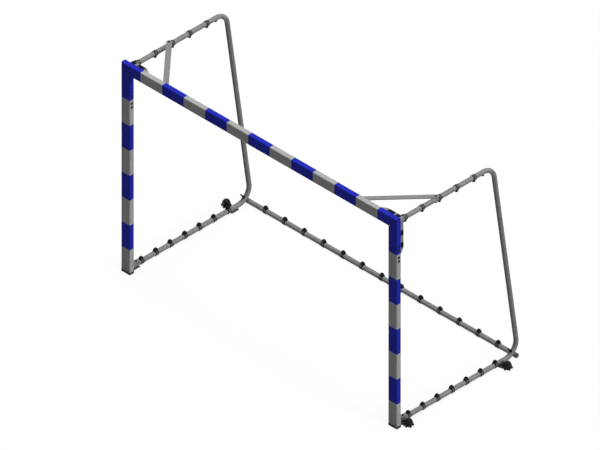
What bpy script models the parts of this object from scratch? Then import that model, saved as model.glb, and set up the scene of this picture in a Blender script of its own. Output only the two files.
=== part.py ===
"""Free-standing handball goal: a striped aluminium frame with bent tube net hoops behind it.

Lengths are in metres and +Z is up. X runs along the crossbar and Y runs from the mouth to the back.
Every piece hangs on one empty, which puts the middle of the footprint at the world origin.
Inside that empty, Y is 0 at the front faces of the posts and Z is 0 at the floor.
"""

import math

import bmesh
import bpy
from mathutils import Vector

# Overall sizes
CLEAR_WIDTH = 2.400
CLEAR_HEIGHT = 1.600
ARM_REACH = 0.932
FLOOR_REACH = 1.164

# Clearances
SEAT_GAP = 0.0003
HOLE_CLEARANCE = 0.0003

# Profile of the posts and the crossbar
PROFILE_WIDTH = 0.080
PROFILE_DEPTH = 0.040
PROFILE_WALL = 0.003
PROFILE_CORNER = 0.005
CORNER_STEPS = 4
SMOOTH_ANGLE = math.radians(35)

# Foot caps
CAP_THICKNESS = 0.010
CAP_PLUG = 0.025

# Round tube of the hoops and the rear bar
TUBE_DIAMETER = 0.035
TUBE_WALL = 0.0025
TUBE_SIDES = 16
BEND_RADIUS = 0.105
BEND_STEP = math.radians(10)
ARM_DROP = 0.049
PIVOT_SETBACK = 0.057
ARM_END_MARGIN = 0.013
FLOOR_END_MARGIN = 0.040
REAR_BAR_OVERHANG = 0.024

# Anchor plates and their star knob screws
ANCHOR_THICKNESS = 0.005
ANCHOR_LENGTH = 0.065
ANCHOR_INNER_MARGIN = 0.020
ANCHOR_END_STEPS = 8
KNOB_OFFSET = 0.066
KNOB_EDGE_MARGIN = 0.017
FRONT_ANCHOR_SETBACK = 0.045
REAR_ANCHOR_SETBACK = 0.040
KNOB_LOBES = 6
KNOB_POINTS = 36
KNOB_TURN = math.radians(40)
KNOB_BORE_DEPTH = 0.024
# Knob from its seat up: radius at the lobes, radius between them and height
KNOB_PROFILE = (
    (0.0350, 0.0275, 0.000),
    (0.0360, 0.0285, 0.002),
    (0.0360, 0.0285, 0.012),
    (0.0330, 0.0275, 0.015),
    (0.0305, 0.0265, 0.020),
    (0.0280, 0.0250, 0.031),
    (0.0225, 0.0220, 0.043),
    (0.0175, 0.0175, 0.049),
    (0.0090, 0.0090, 0.052),
)
STUD_RADIUS = 0.005
STUD_TIP_HEIGHT = 0.0005

# Corner connectors inside the profile
CONNECTOR_CHAMFER = 0.003
CONNECTOR_WALL = 0.012
CONNECTOR_BASE = 0.005
CONNECTOR_FRONT_GAP = 0.006
CONNECTOR_POST_LEG = 0.360
CONNECTOR_BAR_LEG = 0.230

# Corner brackets behind the profile
BRACKET_INSET = 0.018
BRACKET_WIDTH = 0.044
BRACKET_DEPTH = 0.040
BRACKET_BASE = 0.006
BRACKET_WALL = 0.004
BRACKET_LIP = 0.008
BRACKET_TAPER = 0.054
BRACKET_POST_LEG = 0.265
BRACKET_BAR_LEG = 0.160
BRACKET_CHAMFER = 0.015
BRACKET_NOTCH = 0.035
POST_BOLT_DROPS = (0.138, 0.236)
BAR_BOLT_INSETS = (0.052, 0.118)
BAR_BOLT_CLEARANCE = 0.0015

# Lugs that hold the hoop's two ends
LUG_THICKNESS = 0.005
LUG_WIDTH = 0.030
LUG_MARGIN = 0.008
FOOT_BASE_WIDTH = 0.072
FOOT_BASE_HEIGHT = 0.086
FOOT_LUG_MARGIN = 0.028

# Bolts: thread radius, size across the flats and head height
BOLT_RADIUS = 0.004
BOLT_FLATS = 0.013
BOLT_HEAD = 0.0055
SCREW_RADIUS = 0.003
SCREW_FLATS = 0.012
SCREW_HEAD = 0.003
BOLT_TAIL = 0.004
BOLT_SIDES = 12
HOLE_SIDES = 16
SIDE_SCREW_DROPS = (0.220, 0.251, 0.308, 0.339)
FOOT_BOLT_HEIGHT = 0.074

# Clamps that hold the rear bar on the hoops
CLAMP_ANGLE = math.radians(50.6)
CLAMP_STUD_RADIUS = 0.005
CLAMP_WASHER_RADIUS = 0.0115
CLAMP_WASHER_THICKNESS = 0.002
CLAMP_NUT_FLATS = 0.017
CLAMP_NUT_HEIGHT = 0.008
CLAMP_STUD_TAIL = 0.034
CLAMP_WALL_MARGIN = 0.001

# Flat braces from the crossbar to the hoops
BRACE_WIDTH = 0.040
BRACE_THICKNESS = 0.006
BRACE_ARM_REACH = 0.405
BRACE_INWARD = 0.334
BRACE_END_STEPS = 8
FOOT_PLATE_THICKNESS = 0.005
FOOT_PLATE_HEIGHT = 0.032
FOOT_PLATE_LENGTH = 0.084
FOOT_PLATE_OFFSET = 0.012
BRACE_BOLT_OFFSET = 0.034
BRACE_BOLT_HEIGHT = 0.024

# Places that follow from the sizes above
HALF_CLEAR = CLEAR_WIDTH / 2
POST_X = HALF_CLEAR + PROFILE_WIDTH / 2
OUTER_X = HALF_CLEAR + PROFILE_WIDTH
TOP_Z = CLEAR_HEIGHT + PROFILE_WIDTH
REAR_Y = PROFILE_DEPTH
TUBE_RADIUS = TUBE_DIAMETER / 2
ARM_Z = TOP_Z - ARM_DROP
FLOOR_TUBE_Z = ANCHOR_THICKNESS + SEAT_GAP + TUBE_RADIUS
ARM_TOP_Z = ARM_Z + TUBE_RADIUS + SEAT_GAP
FOOT_LUG_Z = FLOOR_TUBE_Z + TUBE_RADIUS + SEAT_GAP
PIVOT_Y = REAR_Y + PIVOT_SETBACK
LEAN = math.atan((FLOOR_REACH - ARM_REACH) / (ARM_Z - FLOOR_TUBE_Z))
UPPER_TURN = math.pi / 2 - LEAN
LOWER_TURN = math.pi / 2 + LEAN
LOWER_BEND_Y = FLOOR_REACH - BEND_RADIUS * math.tan(LOWER_TURN / 2)
LOWER_BEND_Z = FLOOR_TUBE_Z + BEND_RADIUS
UPPER_BEND_Y = ARM_REACH - BEND_RADIUS * math.tan(UPPER_TURN / 2)
UPPER_BEND_Z = ARM_Z - BEND_RADIUS
TOTAL_DEPTH = LOWER_BEND_Y + BEND_RADIUS + TUBE_RADIUS
CLAMP_OUT = Vector((0, math.cos(CLAMP_ANGLE), -math.sin(CLAMP_ANGLE)))
BAR_DISTANCE = BEND_RADIUS + TUBE_DIAMETER + SEAT_GAP
INNER_BEND = (BEND_RADIUS - TUBE_RADIUS) * math.cos(BEND_STEP / 2)
WASHER_SEAT = math.sqrt(INNER_BEND ** 2 - CLAMP_WASHER_RADIUS ** 2) - SEAT_GAP
REAR_BAR_HALF = POST_X + REAR_BAR_OVERHANG
KNOB_X = POST_X + KNOB_OFFSET
BRACE_BAR_X = POST_X - BRACE_INWARD
FRONT_ANCHOR_Y = REAR_Y + FRONT_ANCHOR_SETBACK
REAR_ANCHOR_Y = LOWER_BEND_Y - REAR_ANCHOR_SETBACK

BOLT_SIZES = (BOLT_RADIUS, BOLT_FLATS, BOLT_HEAD)
SCREW_SIZES = (SCREW_RADIUS, SCREW_FLATS, SCREW_HEAD)
SIDES = {"left": -1, "right": 1}


def make_material(name, color, roughness, metallic):
    material = bpy.data.materials.new(name)
    material.use_nodes = True
    shader = material.node_tree.nodes["Principled BSDF"]
    shader.inputs["Base Color"].default_value = (*color, 1)
    shader.inputs["Roughness"].default_value = roughness
    shader.inputs["Metallic"].default_value = metallic
    return material


def clear_scene():
    for item in list(bpy.data.objects):
        bpy.data.objects.remove(item, do_unlink=True)


def add_object(name, builder, material, home, smooth=False):
    """Turn a bmesh into a named object that hangs on the home empty."""
    bmesh.ops.recalc_face_normals(builder, faces=builder.faces)
    mesh = bpy.data.meshes.new(name)
    builder.to_mesh(mesh)
    builder.free()
    mesh.materials.append(material)
    if smooth:
        mesh.shade_smooth()
        mesh.set_sharp_from_angle(angle=SMOOTH_ANGLE)
    item = bpy.data.objects.new(name, mesh)
    bpy.context.scene.collection.objects.link(item)
    item.parent = home
    return item


def place(item, point, axis):
    """Put the item's origin at a point and turn its own +Z to the axis."""
    item.location = point
    item.rotation_mode = "QUATERNION"
    item.rotation_quaternion = Vector((0, 0, 1)).rotation_difference(Vector(axis))


def loft(builder, rings, closed=False):
    """Join rings of equally many points; the ends are filled, or joined when closed."""
    rows = [[builder.verts.new(point) for point in ring] for ring in rings]
    pairs = list(zip(rows, rows[1:]))
    if closed:
        pairs.append((rows[-1], rows[0]))
    else:
        builder.faces.new(rows[0])
        builder.faces.new(rows[-1])
    for near, far in pairs:
        for index in range(len(near)):
            after = (index + 1) % len(near)
            builder.faces.new((near[index], near[after], far[after], far[index]))


def add_shared(entries, rings, material, home, closed=False, smooth=False):
    """Objects that share one mesh; each entry is a name, a place and the way its own +Z points."""
    builder = bmesh.new()
    loft(builder, rings, closed)
    shared = None
    for name, point, axis in entries:
        if shared is None:
            item = add_object(name, builder, material, home, smooth)
            shared = item.data
        else:
            item = bpy.data.objects.new(name, shared)
            bpy.context.scene.collection.objects.link(item)
            item.parent = home
        place(item, point, axis)


def circle(radius, sides, height=0.0):
    angles = [2 * math.pi * index / sides for index in range(sides)]
    return [Vector((radius * math.cos(angle), radius * math.sin(angle), height)) for angle in angles]


def hexagon(flats, height):
    """Twelve points: the corners and the middles of a hexagon's sides."""
    points = []
    for index in range(BOLT_SIDES):
        angle = 2 * math.pi * index / BOLT_SIDES
        radius = flats / math.sqrt(3) if index % 2 == 0 else flats / 2
        points.append(Vector((radius * math.cos(angle), radius * math.sin(angle), height)))
    return points


def rounded_outline(width, depth, radius):
    """Points of a rectangle with round corners, centred on the origin."""
    points = []
    corners = ((1, 1, 0), (-1, 1, 1), (-1, -1, 2), (1, -1, 3))
    for across, along, quarter in corners:
        center_a = across * (width / 2 - radius)
        center_b = along * (depth / 2 - radius)
        for step in range(CORNER_STEPS + 1):
            angle = math.pi / 2 * (quarter + step / CORNER_STEPS)
            points.append((center_a + radius * math.cos(angle), center_b + radius * math.sin(angle)))
    return points


def box_rings(low, high):
    """Two rings, bottom and top, of the box between two corners."""
    corners = ((low[0], low[1]), (high[0], low[1]), (high[0], high[1]), (low[0], high[1]))
    return [[Vector((x, y, z)) for x, y in corners] for z in (low[2], high[2])]


def combine(target, tool, operation):
    """Cut or join a tool with a Boolean and leave the tool as a wire guide."""
    modifier = target.modifiers.new(operation.lower(), "BOOLEAN")
    modifier.operation = operation
    modifier.solver = "EXACT"
    modifier.object = tool
    tool.hide_render = True
    tool.display_type = "WIRE"


def hole_radius(shank_radius):
    """Corner radius of a many-sided hole whose flats clear a round shank."""
    return (shank_radius + HOLE_CLEARANCE) / math.cos(math.pi / HOLE_SIDES)


def drill(target, home, material, holes):
    """Cut round holes; each is a start point, a direction with its length, and the shank's radius."""
    builder = bmesh.new()
    for start, reach, shank_radius in holes:
        turn = Vector((0, 0, 1)).rotation_difference(Vector(reach).normalized())
        ring = [turn @ point for point in circle(hole_radius(shank_radius), HOLE_SIDES)]
        ends = (Vector(start), Vector(start) + Vector(reach))
        loft(builder, [[end + point for point in ring] for end in ends])
    tool = add_object(target.name + "_holes", builder, material, home)
    combine(target, tool, "DIFFERENCE")


def make_profile(name, end_points, material, home):
    """A hollow profile; end_points gives the two end positions of each point of its section."""
    outer = rounded_outline(PROFILE_WIDTH, PROFILE_DEPTH, PROFILE_CORNER)
    inner = rounded_outline(
        PROFILE_WIDTH - 2 * PROFILE_WALL,
        PROFILE_DEPTH - 2 * PROFILE_WALL,
        PROFILE_CORNER - PROFILE_WALL,
    )
    builder = bmesh.new()
    outer_ends = [[end_points(a, b)[end] for a, b in outer] for end in (0, 1)]
    inner_ends = [[end_points(a, b)[end] for a, b in inner] for end in (1, 0)]
    loft(builder, outer_ends + inner_ends, closed=True)
    return add_object(name, builder, material, home)


def make_posts(materials, home):
    """Posts stand on their caps and are mitred at 45 degrees under the crossbar."""
    posts = {}
    for side, sign in SIDES.items():
        def ends(a, b, sign=sign):
            x = POST_X + a
            y = PROFILE_DEPTH / 2 + b
            mitre = CLEAR_HEIGHT + (x - HALF_CLEAR) - SEAT_GAP
            return Vector((sign * x, y, CAP_THICKNESS + SEAT_GAP)), Vector((sign * x, y, mitre))

        posts[side] = make_profile("post_" + side, ends, materials["post"], home)
    return posts


def make_crossbar(materials, home):
    def ends(a, b):
        z = CLEAR_HEIGHT + PROFILE_WIDTH / 2 + a
        y = PROFILE_DEPTH / 2 + b
        reach = HALF_CLEAR + (z - CLEAR_HEIGHT) - SEAT_GAP
        return Vector((-reach, y, z)), Vector((reach, y, z))

    return make_profile("crossbar", ends, materials["post"], home)


def make_foot_caps(materials, home):
    """A cap covers the post's end and has a plug inside it."""
    outer = rounded_outline(PROFILE_WIDTH, PROFILE_DEPTH, PROFILE_CORNER)
    loss = 2 * (PROFILE_WALL + SEAT_GAP)
    plug = rounded_outline(PROFILE_WIDTH - loss, PROFILE_DEPTH - loss, PROFILE_CORNER - loss / 2)
    levels = ((outer, 0.0), (outer, CAP_THICKNESS), (plug, CAP_THICKNESS), (plug, CAP_THICKNESS + CAP_PLUG))
    rings = [[Vector((a, b, z)) for a, b in outline] for outline, z in levels]
    entries = [
        ("foot_cap_" + side, (sign * POST_X, PROFILE_DEPTH / 2, 0), (0, 0, 1))
        for side, sign in SIDES.items()
    ]
    add_shared(entries, rings, materials["cap"], home)


def corner_outline(outer_inset, inner_inset, post_leg, bar_leg, chamfer):
    """Outline of an L that follows the goal's corner, as distances outwards and upwards.

    The insets are from the profile's outer and inner faces, and the legs are measured from
    its outer corner. The chamfer cuts the L's own outer corner.
    """
    out_x = OUTER_X - outer_inset
    out_z = TOP_Z - outer_inset
    in_x = HALF_CLEAR + inner_inset
    in_z = CLEAR_HEIGHT + inner_inset
    end_z = TOP_Z - post_leg
    end_x = OUTER_X - bar_leg
    return [
        (out_x, end_z),
        (out_x, out_z - chamfer),
        (out_x - chamfer, out_z),
        (end_x, out_z),
        (end_x, in_z),
        (in_x, in_z),
        (in_x, end_z),
    ]


def corner_ring(sign, y, outline):
    return [Vector((sign * x, y, z)) for x, z in outline]


def make_connectors(materials, home):
    """An L-shaped tray inside the profile joins each post to the crossbar."""
    back = REAR_Y - PROFILE_WALL - SEAT_GAP
    wide = PROFILE_WALL + SEAT_GAP
    narrow = wide + CONNECTOR_CHAMFER
    front = PROFILE_WALL + CONNECTOR_FRONT_GAP
    hollow = wide + CONNECTOR_WALL
    connectors = {}
    for side, sign in SIDES.items():
        def outline(inset, shorten=0.0):
            return corner_outline(
                inset, inset, CONNECTOR_POST_LEG - shorten, CONNECTOR_BAR_LEG - shorten, CONNECTOR_CHAMFER)

        builder = bmesh.new()
        rings = (
            corner_ring(sign, back, outline(narrow)),
            corner_ring(sign, back - CONNECTOR_CHAMFER, outline(wide)),
            corner_ring(sign, front, outline(wide)),
        )
        loft(builder, rings)
        item = add_object("corner_connector_" + side, builder, materials["cast"], home)
        builder = bmesh.new()
        rings = (
            corner_ring(sign, back - CONNECTOR_BASE, outline(hollow, CONNECTOR_WALL)),
            corner_ring(sign, front - CONNECTOR_WALL, outline(hollow, CONNECTOR_WALL)),
        )
        loft(builder, rings)
        tool = add_object("corner_connector_pocket_" + side, builder, materials["cast"], home)
        combine(item, tool, "DIFFERENCE")
        connectors[side] = item
    return connectors


def bracket_bolt_points():
    """Places of the four bracket bolts on one corner, outwards and upwards."""
    leg_middle = BRACKET_INSET + BRACKET_WIDTH / 2
    on_post = [(OUTER_X - leg_middle, TOP_Z - drop) for drop in POST_BOLT_DROPS]
    bar_z = ARM_TOP_Z - BOLT_FLATS / 2 - BAR_BOLT_CLEARANCE
    on_bar = [(OUTER_X - inset, bar_z) for inset in BAR_BOLT_INSETS]
    return on_post + on_bar


def make_brackets(materials, home):
    """An L-shaped angle, its wall outside, with two lugs, bolted behind each corner of the goal."""
    base_y = REAR_Y + SEAT_GAP
    back_y = base_y + BRACKET_DEPTH
    inner = PROFILE_WIDTH - BRACKET_INSET - BRACKET_WIDTH
    brackets = {}
    for side, sign in SIDES.items():
        full = corner_outline(
            BRACKET_INSET, inner, BRACKET_POST_LEG, BRACKET_BAR_LEG, BRACKET_CHAMFER)
        long = corner_outline(
            BRACKET_INSET, inner, BRACKET_POST_LEG + BRACKET_TAPER, BRACKET_BAR_LEG + BRACKET_TAPER,
            BRACKET_CHAMFER)
        builder = bmesh.new()
        rings = (
            corner_ring(sign, base_y, long),
            corner_ring(sign, base_y + BRACKET_LIP, long),
            corner_ring(sign, back_y, full),
        )
        loft(builder, rings)
        item = add_object("corner_bracket_" + side, builder, materials["steel"], home)

        builder = bmesh.new()
        wall = BRACKET_WALL
        shorten = BRACKET_TAPER - wall
        pocket = corner_outline(
            BRACKET_INSET + wall, inner - wall, BRACKET_POST_LEG + shorten, BRACKET_BAR_LEG + shorten,
            BRACKET_CHAMFER)
        loft(builder, [corner_ring(sign, y, pocket) for y in (base_y + BRACKET_BASE, back_y + wall)])
        tool = add_object("corner_bracket_pocket_" + side, builder, materials["steel"], home)
        combine(item, tool, "DIFFERENCE")

        builder = bmesh.new()
        for x, z in bracket_bolt_points():
            on_post = z < CLEAR_HEIGHT
            half = BRACKET_NOTCH / 2
            if on_post:
                low = (OUTER_X - BRACKET_INSET - 2 * wall, z - half)
                high = (OUTER_X, z + half)
            else:
                low = (x - half, TOP_Z - BRACKET_INSET - 2 * wall)
                high = (x + half, TOP_Z)
            across = sorted((sign * low[0], sign * high[0]))
            corner_a = (across[0], base_y + BRACKET_BASE, low[1])
            corner_b = (across[1], back_y + wall, high[1])
            loft(builder, box_rings(corner_a, corner_b))
        tool = add_object("corner_bracket_notches_" + side, builder, materials["steel"], home)
        combine(item, tool, "DIFFERENCE")

        builder = bmesh.new()
        for level in (ARM_TOP_Z, ARM_Z - TUBE_RADIUS - SEAT_GAP - LUG_THICKNESS):
            low = (sign * POST_X - LUG_WIDTH / 2, base_y + BRACKET_BASE / 2, level)
            high = (sign * POST_X + LUG_WIDTH / 2, PIVOT_Y + LUG_MARGIN, level + LUG_THICKNESS)
            loft(builder, box_rings(low, high))
        tool = add_object("corner_bracket_lugs_" + side, builder, materials["steel"], home)
        combine(item, tool, "UNION")
        brackets[side] = item
    return brackets


def make_foot_brackets(materials, home):
    """A base plate on the post's back with a flat lug over the hoop's lower end."""
    base_y = REAR_Y + SEAT_GAP
    base_low = CAP_THICKNESS + SEAT_GAP
    brackets = {}
    for side, sign in SIDES.items():
        middle = sign * POST_X
        builder = bmesh.new()
        low = (middle - FOOT_BASE_WIDTH / 2, base_y, base_low)
        high = (middle + FOOT_BASE_WIDTH / 2, base_y + LUG_THICKNESS, base_low + FOOT_BASE_HEIGHT)
        loft(builder, box_rings(low, high))
        item = add_object("foot_bracket_" + side, builder, materials["steel"], home)

        builder = bmesh.new()
        low = (middle - LUG_WIDTH / 2, base_y + LUG_THICKNESS / 2, FOOT_LUG_Z)
        high = (middle + LUG_WIDTH / 2, PIVOT_Y + FOOT_LUG_MARGIN, FOOT_LUG_Z + LUG_THICKNESS)
        loft(builder, box_rings(low, high))
        tool = add_object("foot_bracket_lug_" + side, builder, materials["steel"], home)
        combine(item, tool, "UNION")
        brackets[side] = item
    return brackets


def hoop_path():
    """Points of the hoop's centre line as Y, Z and the angle of travel above the floor."""
    points = [(PIVOT_Y - ARM_END_MARGIN, ARM_Z, 0.0)]
    upper_steps = math.ceil(UPPER_TURN / BEND_STEP)
    for step in range(upper_steps + 1):
        angle = UPPER_TURN * step / upper_steps
        y = UPPER_BEND_Y + BEND_RADIUS * math.sin(angle)
        z = UPPER_BEND_Z + BEND_RADIUS * math.cos(angle)
        points.append((y, z, -angle))
    lower_steps = math.ceil(LOWER_TURN / BEND_STEP)
    for step in range(lower_steps + 1):
        angle = UPPER_TURN + LOWER_TURN * step / lower_steps
        y = LOWER_BEND_Y + BEND_RADIUS * math.sin(angle)
        z = LOWER_BEND_Z + BEND_RADIUS * math.cos(angle)
        points.append((y, z, -angle))
    points.append((PIVOT_Y - FLOOR_END_MARGIN, FLOOR_TUBE_Z, -math.pi))
    return points


def tube_ring(center, out, across, radius):
    """A ring of the tube's section around a centre, in the plane of two directions."""
    turn = 2 * math.pi / TUBE_SIDES
    return [
        center + radius * (math.cos(turn * i) * out + math.sin(turn * i) * across)
        for i in range(TUBE_SIDES)
    ]


def make_hoops(materials, home):
    hoops = {}
    across = Vector((1, 0, 0))
    for side, sign in SIDES.items():
        outer = []
        inner = []
        for y, z, travel in hoop_path():
            center = Vector((sign * POST_X, y, z))
            out = Vector((0, -math.sin(travel), math.cos(travel)))
            outer.append(tube_ring(center, out, across, TUBE_RADIUS))
            inner.append(tube_ring(center, out, across, TUBE_RADIUS - TUBE_WALL))
        builder = bmesh.new()
        loft(builder, outer + inner[::-1], closed=True)
        hoops[side] = add_object("net_hoop_" + side, builder, materials["tube"], home, smooth=True)
    return hoops


def clamp_point(side, distance):
    """A point on the clamp's axis, at a distance from the centre of the hoop's lower bend."""
    center = Vector((SIDES[side] * POST_X, LOWER_BEND_Y, LOWER_BEND_Z))
    return center + distance * CLAMP_OUT


def make_rear_bar(materials, home):
    middle = clamp_point("right", BAR_DISTANCE)
    out = Vector((0, 0, 1))
    across = Vector((0, 1, 0))
    rings = []
    for radius, order in ((TUBE_RADIUS, (-1, 1)), (TUBE_RADIUS - TUBE_WALL, (1, -1))):
        for sign in order:
            center = Vector((sign * REAR_BAR_HALF, middle.y, middle.z))
            rings.append(tube_ring(center, out, across, radius))
    builder = bmesh.new()
    loft(builder, rings, closed=True)
    return add_object("rear_ground_bar", builder, materials["tube"], home, smooth=True)


def make_clamps(materials, home):
    """A stud through each lower bend into the rear bar, with a washer and a nut inside the bend."""
    far = BAR_DISTANCE + TUBE_RADIUS - CLAMP_WALL_MARGIN
    nut_seat = WASHER_SEAT - CLAMP_WASHER_THICKNESS - SEAT_GAP
    near = nut_seat - CLAMP_NUT_HEIGHT - CLAMP_STUD_TAIL
    bore = hole_radius(CLAMP_STUD_RADIUS)
    stud = [circle(CLAMP_STUD_RADIUS, BOLT_SIDES, height) for height in (0, far - near)]
    washer = [
        circle(bore, BOLT_SIDES, 0),
        circle(CLAMP_WASHER_RADIUS, BOLT_SIDES, 0),
        circle(CLAMP_WASHER_RADIUS, BOLT_SIDES, CLAMP_WASHER_THICKNESS),
        circle(bore, BOLT_SIDES, CLAMP_WASHER_THICKNESS),
    ]
    nut = [
        circle(bore, BOLT_SIDES, 0),
        hexagon(CLAMP_NUT_FLATS, 0),
        hexagon(CLAMP_NUT_FLATS, CLAMP_NUT_HEIGHT),
        circle(bore, BOLT_SIDES, CLAMP_NUT_HEIGHT),
    ]
    studs = [("clamp_stud_" + side, clamp_point(side, near), CLAMP_OUT) for side in SIDES]
    washers = [("clamp_washer_" + side, clamp_point(side, WASHER_SEAT), -CLAMP_OUT) for side in SIDES]
    nuts = [("clamp_nut_" + side, clamp_point(side, nut_seat), -CLAMP_OUT) for side in SIDES]
    add_shared(studs, stud, materials["bolt"], home, smooth=True)
    add_shared(washers, washer, materials["bolt"], home, closed=True, smooth=True)
    add_shared(nuts, nut, materials["bolt"], home, closed=True)


def drill_clamp_holes(hoops, rear_bar, materials, home):
    start = BEND_RADIUS - TUBE_DIAMETER
    far = BAR_DISTANCE + TUBE_DIAMETER
    reach = (BEND_RADIUS + TUBE_RADIUS + SEAT_GAP / 2 - start) * CLAMP_OUT
    for side in SIDES:
        drill(hoops[side], home, materials["tube"], [(clamp_point(side, start), reach, CLAMP_STUD_RADIUS)])
    bar_start = BAR_DISTANCE - TUBE_RADIUS - SEAT_GAP / 2
    bar_reach = (far - bar_start) * CLAMP_OUT
    holes = [(clamp_point(side, bar_start), bar_reach, CLAMP_STUD_RADIUS) for side in SIDES]
    drill(rear_bar, home, materials["tube"], holes)


def anchor_places():
    """Name and Y of the four anchor plates, with the sign of their side."""
    places = []
    for side, sign in SIDES.items():
        places.append(("front_" + side, sign, FRONT_ANCHOR_Y))
        places.append(("rear_" + side, sign, REAR_ANCHOR_Y))
    return places


def anchor_outline(sign, y):
    """Outline of a plate: straight under the tube, then tapering to a round end at the knob."""
    half = ANCHOR_LENGTH / 2
    points = [(POST_X, -half), (POST_X - ANCHOR_INNER_MARGIN, -half)]
    points += [(POST_X - ANCHOR_INNER_MARGIN, half), (POST_X, half)]
    for step in range(ANCHOR_END_STEPS + 1):
        angle = math.pi / 2 - math.pi * step / ANCHOR_END_STEPS
        points.append((KNOB_X + KNOB_EDGE_MARGIN * math.cos(angle), KNOB_EDGE_MARGIN * math.sin(angle)))
    return [(sign * x, y + b) for x, b in points]


def make_anchor_plates(materials, home):
    """Plates under the ground tubes, each reaching out to a star knob screw."""
    over = SEAT_GAP + ANCHOR_THICKNESS
    for name, sign, y in anchor_places():
        builder = bmesh.new()
        outline = anchor_outline(sign, y)
        loft(builder, [[Vector((a, b, z)) for a, b in outline] for z in (0, ANCHOR_THICKNESS)])
        item = add_object("anchor_plate_" + name, builder, materials["steel"], home)
        through = (0, 0, 3 * over)
        holes = [((sign * KNOB_X, y, -over), through, STUD_RADIUS)]
        if name.startswith("front"):
            holes.append(((sign * POST_X, PIVOT_Y, -over), through, BOLT_RADIUS))
        drill(item, home, materials["steel"], holes)


def star_ring(radius, waist, height):
    """A ring that swells into lobes between the waist and the full radius."""
    points = []
    for index in range(KNOB_POINTS):
        angle = 2 * math.pi * index / KNOB_POINTS
        lobe = (1 + math.cos(KNOB_LOBES * (angle - KNOB_TURN))) / 2
        reach = waist + (radius - waist) * lobe
        points.append(Vector((reach * math.cos(angle), reach * math.sin(angle), height)))
    return points


def make_star_knobs(materials, home):
    """A star knob sits on each anchor plate, moulded round the head of a threaded stud."""
    seat = ANCHOR_THICKNESS + SEAT_GAP
    bore = hole_radius(STUD_RADIUS)
    rings = [circle(bore, KNOB_POINTS, height) for height in (KNOB_BORE_DEPTH, 0)]
    rings += [star_ring(*row) for row in KNOB_PROFILE]
    stud_length = seat - STUD_TIP_HEIGHT + KNOB_BORE_DEPTH - SEAT_GAP
    stud = [circle(STUD_RADIUS, BOLT_SIDES, height) for height in (0, stud_length)]
    knobs = []
    studs = []
    for name, sign, y in anchor_places():
        knobs.append(("star_knob_" + name, (sign * KNOB_X, y, seat), (0, 0, 1)))
        studs.append(("anchor_stud_" + name, (sign * KNOB_X, y, STUD_TIP_HEIGHT), (0, 0, 1)))
    add_shared(knobs, rings, materials["knob"], home, smooth=True)
    add_shared(studs, stud, materials["bolt"], home, smooth=True)


def add_bolts(entries, sizes, length, material, home):
    """Hexagon bolts; each entry is a name, the seat under its head and the way the head points."""
    radius, flats, head = sizes
    rings = (
        hexagon(flats, head),
        hexagon(flats, 0),
        circle(radius, BOLT_SIDES, 0),
        circle(radius, BOLT_SIDES, -length),
    )
    raised = [(name, Vector(seat) + SEAT_GAP * Vector(axis), axis) for name, seat, axis in entries]
    add_shared(raised, rings, material, home)


def make_bracket_bolts(brackets, connectors, profiles, materials, home):
    """Four bolts clamp each corner bracket to the connector through the profile's back wall."""
    seat_y = REAR_Y + SEAT_GAP + BRACKET_BASE
    length = BRACKET_BASE + PROFILE_WALL + CONNECTOR_BASE + BOLT_TAIL
    names = ("post_upper", "post_lower", "bar_outer", "bar_inner")
    entries = []
    for side, sign in SIDES.items():
        holes = []
        for name, (x, z) in zip(names, bracket_bolt_points()):
            entries.append(("bracket_bolt_%s_%s" % (name, side), (sign * x, seat_y, z), (0, 1, 0)))
            holes.append(((sign * x, seat_y + BOLT_HEAD, z), (0, -length - 2 * BOLT_HEAD, 0), BOLT_RADIUS))
        pivot = (sign * POST_X, PIVOT_Y, ARM_Z + TUBE_DIAMETER)
        pivot_hole = (pivot, (0, 0, -2 * TUBE_DIAMETER), BOLT_RADIUS)
        drill(brackets[side], home, materials["steel"], holes + [pivot_hole])
        drill(connectors[side], home, materials["cast"], holes + side_screw_holes(side))
        post_holes = holes[:2] + side_screw_holes(side) + [foot_bolt_hole(side)]
        drill(profiles[side], home, materials["post"], post_holes)
    bar_holes = []
    for side, sign in SIDES.items():
        for x, z in bracket_bolt_points()[2:]:
            reach = (0, -length - 2 * BOLT_HEAD, 0)
            bar_holes.append(((sign * x, seat_y + BOLT_HEAD, z), reach, BOLT_RADIUS))
        x, z = brace_bolt_place()
        bar_holes.append(((sign * x, REAR_Y + BOLT_HEAD, z), (0, -3 * BOLT_HEAD, 0), BOLT_RADIUS))
    drill(profiles["bar"], home, materials["post"], bar_holes)
    add_bolts(entries, BOLT_SIZES, length, materials["bolt"], home)


def side_screw_holes(side):
    """Holes through the post's outer wall and into the connector's leg."""
    sign = SIDES[side]
    start = OUTER_X + SCREW_HEAD
    reach = PROFILE_WALL + CONNECTOR_WALL + 2 * SCREW_HEAD
    middle = PROFILE_DEPTH / 2
    return [
        ((sign * start, middle, TOP_Z - drop), (-sign * reach, 0, 0), SCREW_RADIUS)
        for drop in SIDE_SCREW_DROPS
    ]


def make_side_screws(materials, home):
    """Flat screws in the outer face of each post hold the connector's leg."""
    length = PROFILE_WALL + CONNECTOR_WALL
    entries = []
    for side, sign in SIDES.items():
        for number, drop in enumerate(SIDE_SCREW_DROPS, start=1):
            seat = (sign * OUTER_X, PROFILE_DEPTH / 2, TOP_Z - drop)
            entries.append(("side_screw_%s_%d" % (side, number), seat, (sign, 0, 0)))
    add_bolts(entries, SCREW_SIZES, length, materials["bolt"], home)


def foot_bolt_hole(side):
    """Hole in the post's back wall for the bolt that holds the foot bracket."""
    x = SIDES[side] * POST_X
    start = (x, REAR_Y + BOLT_HEAD, FOOT_BOLT_HEIGHT)
    return (start, (0, -3 * BOLT_HEAD, 0), BOLT_RADIUS)


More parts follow.
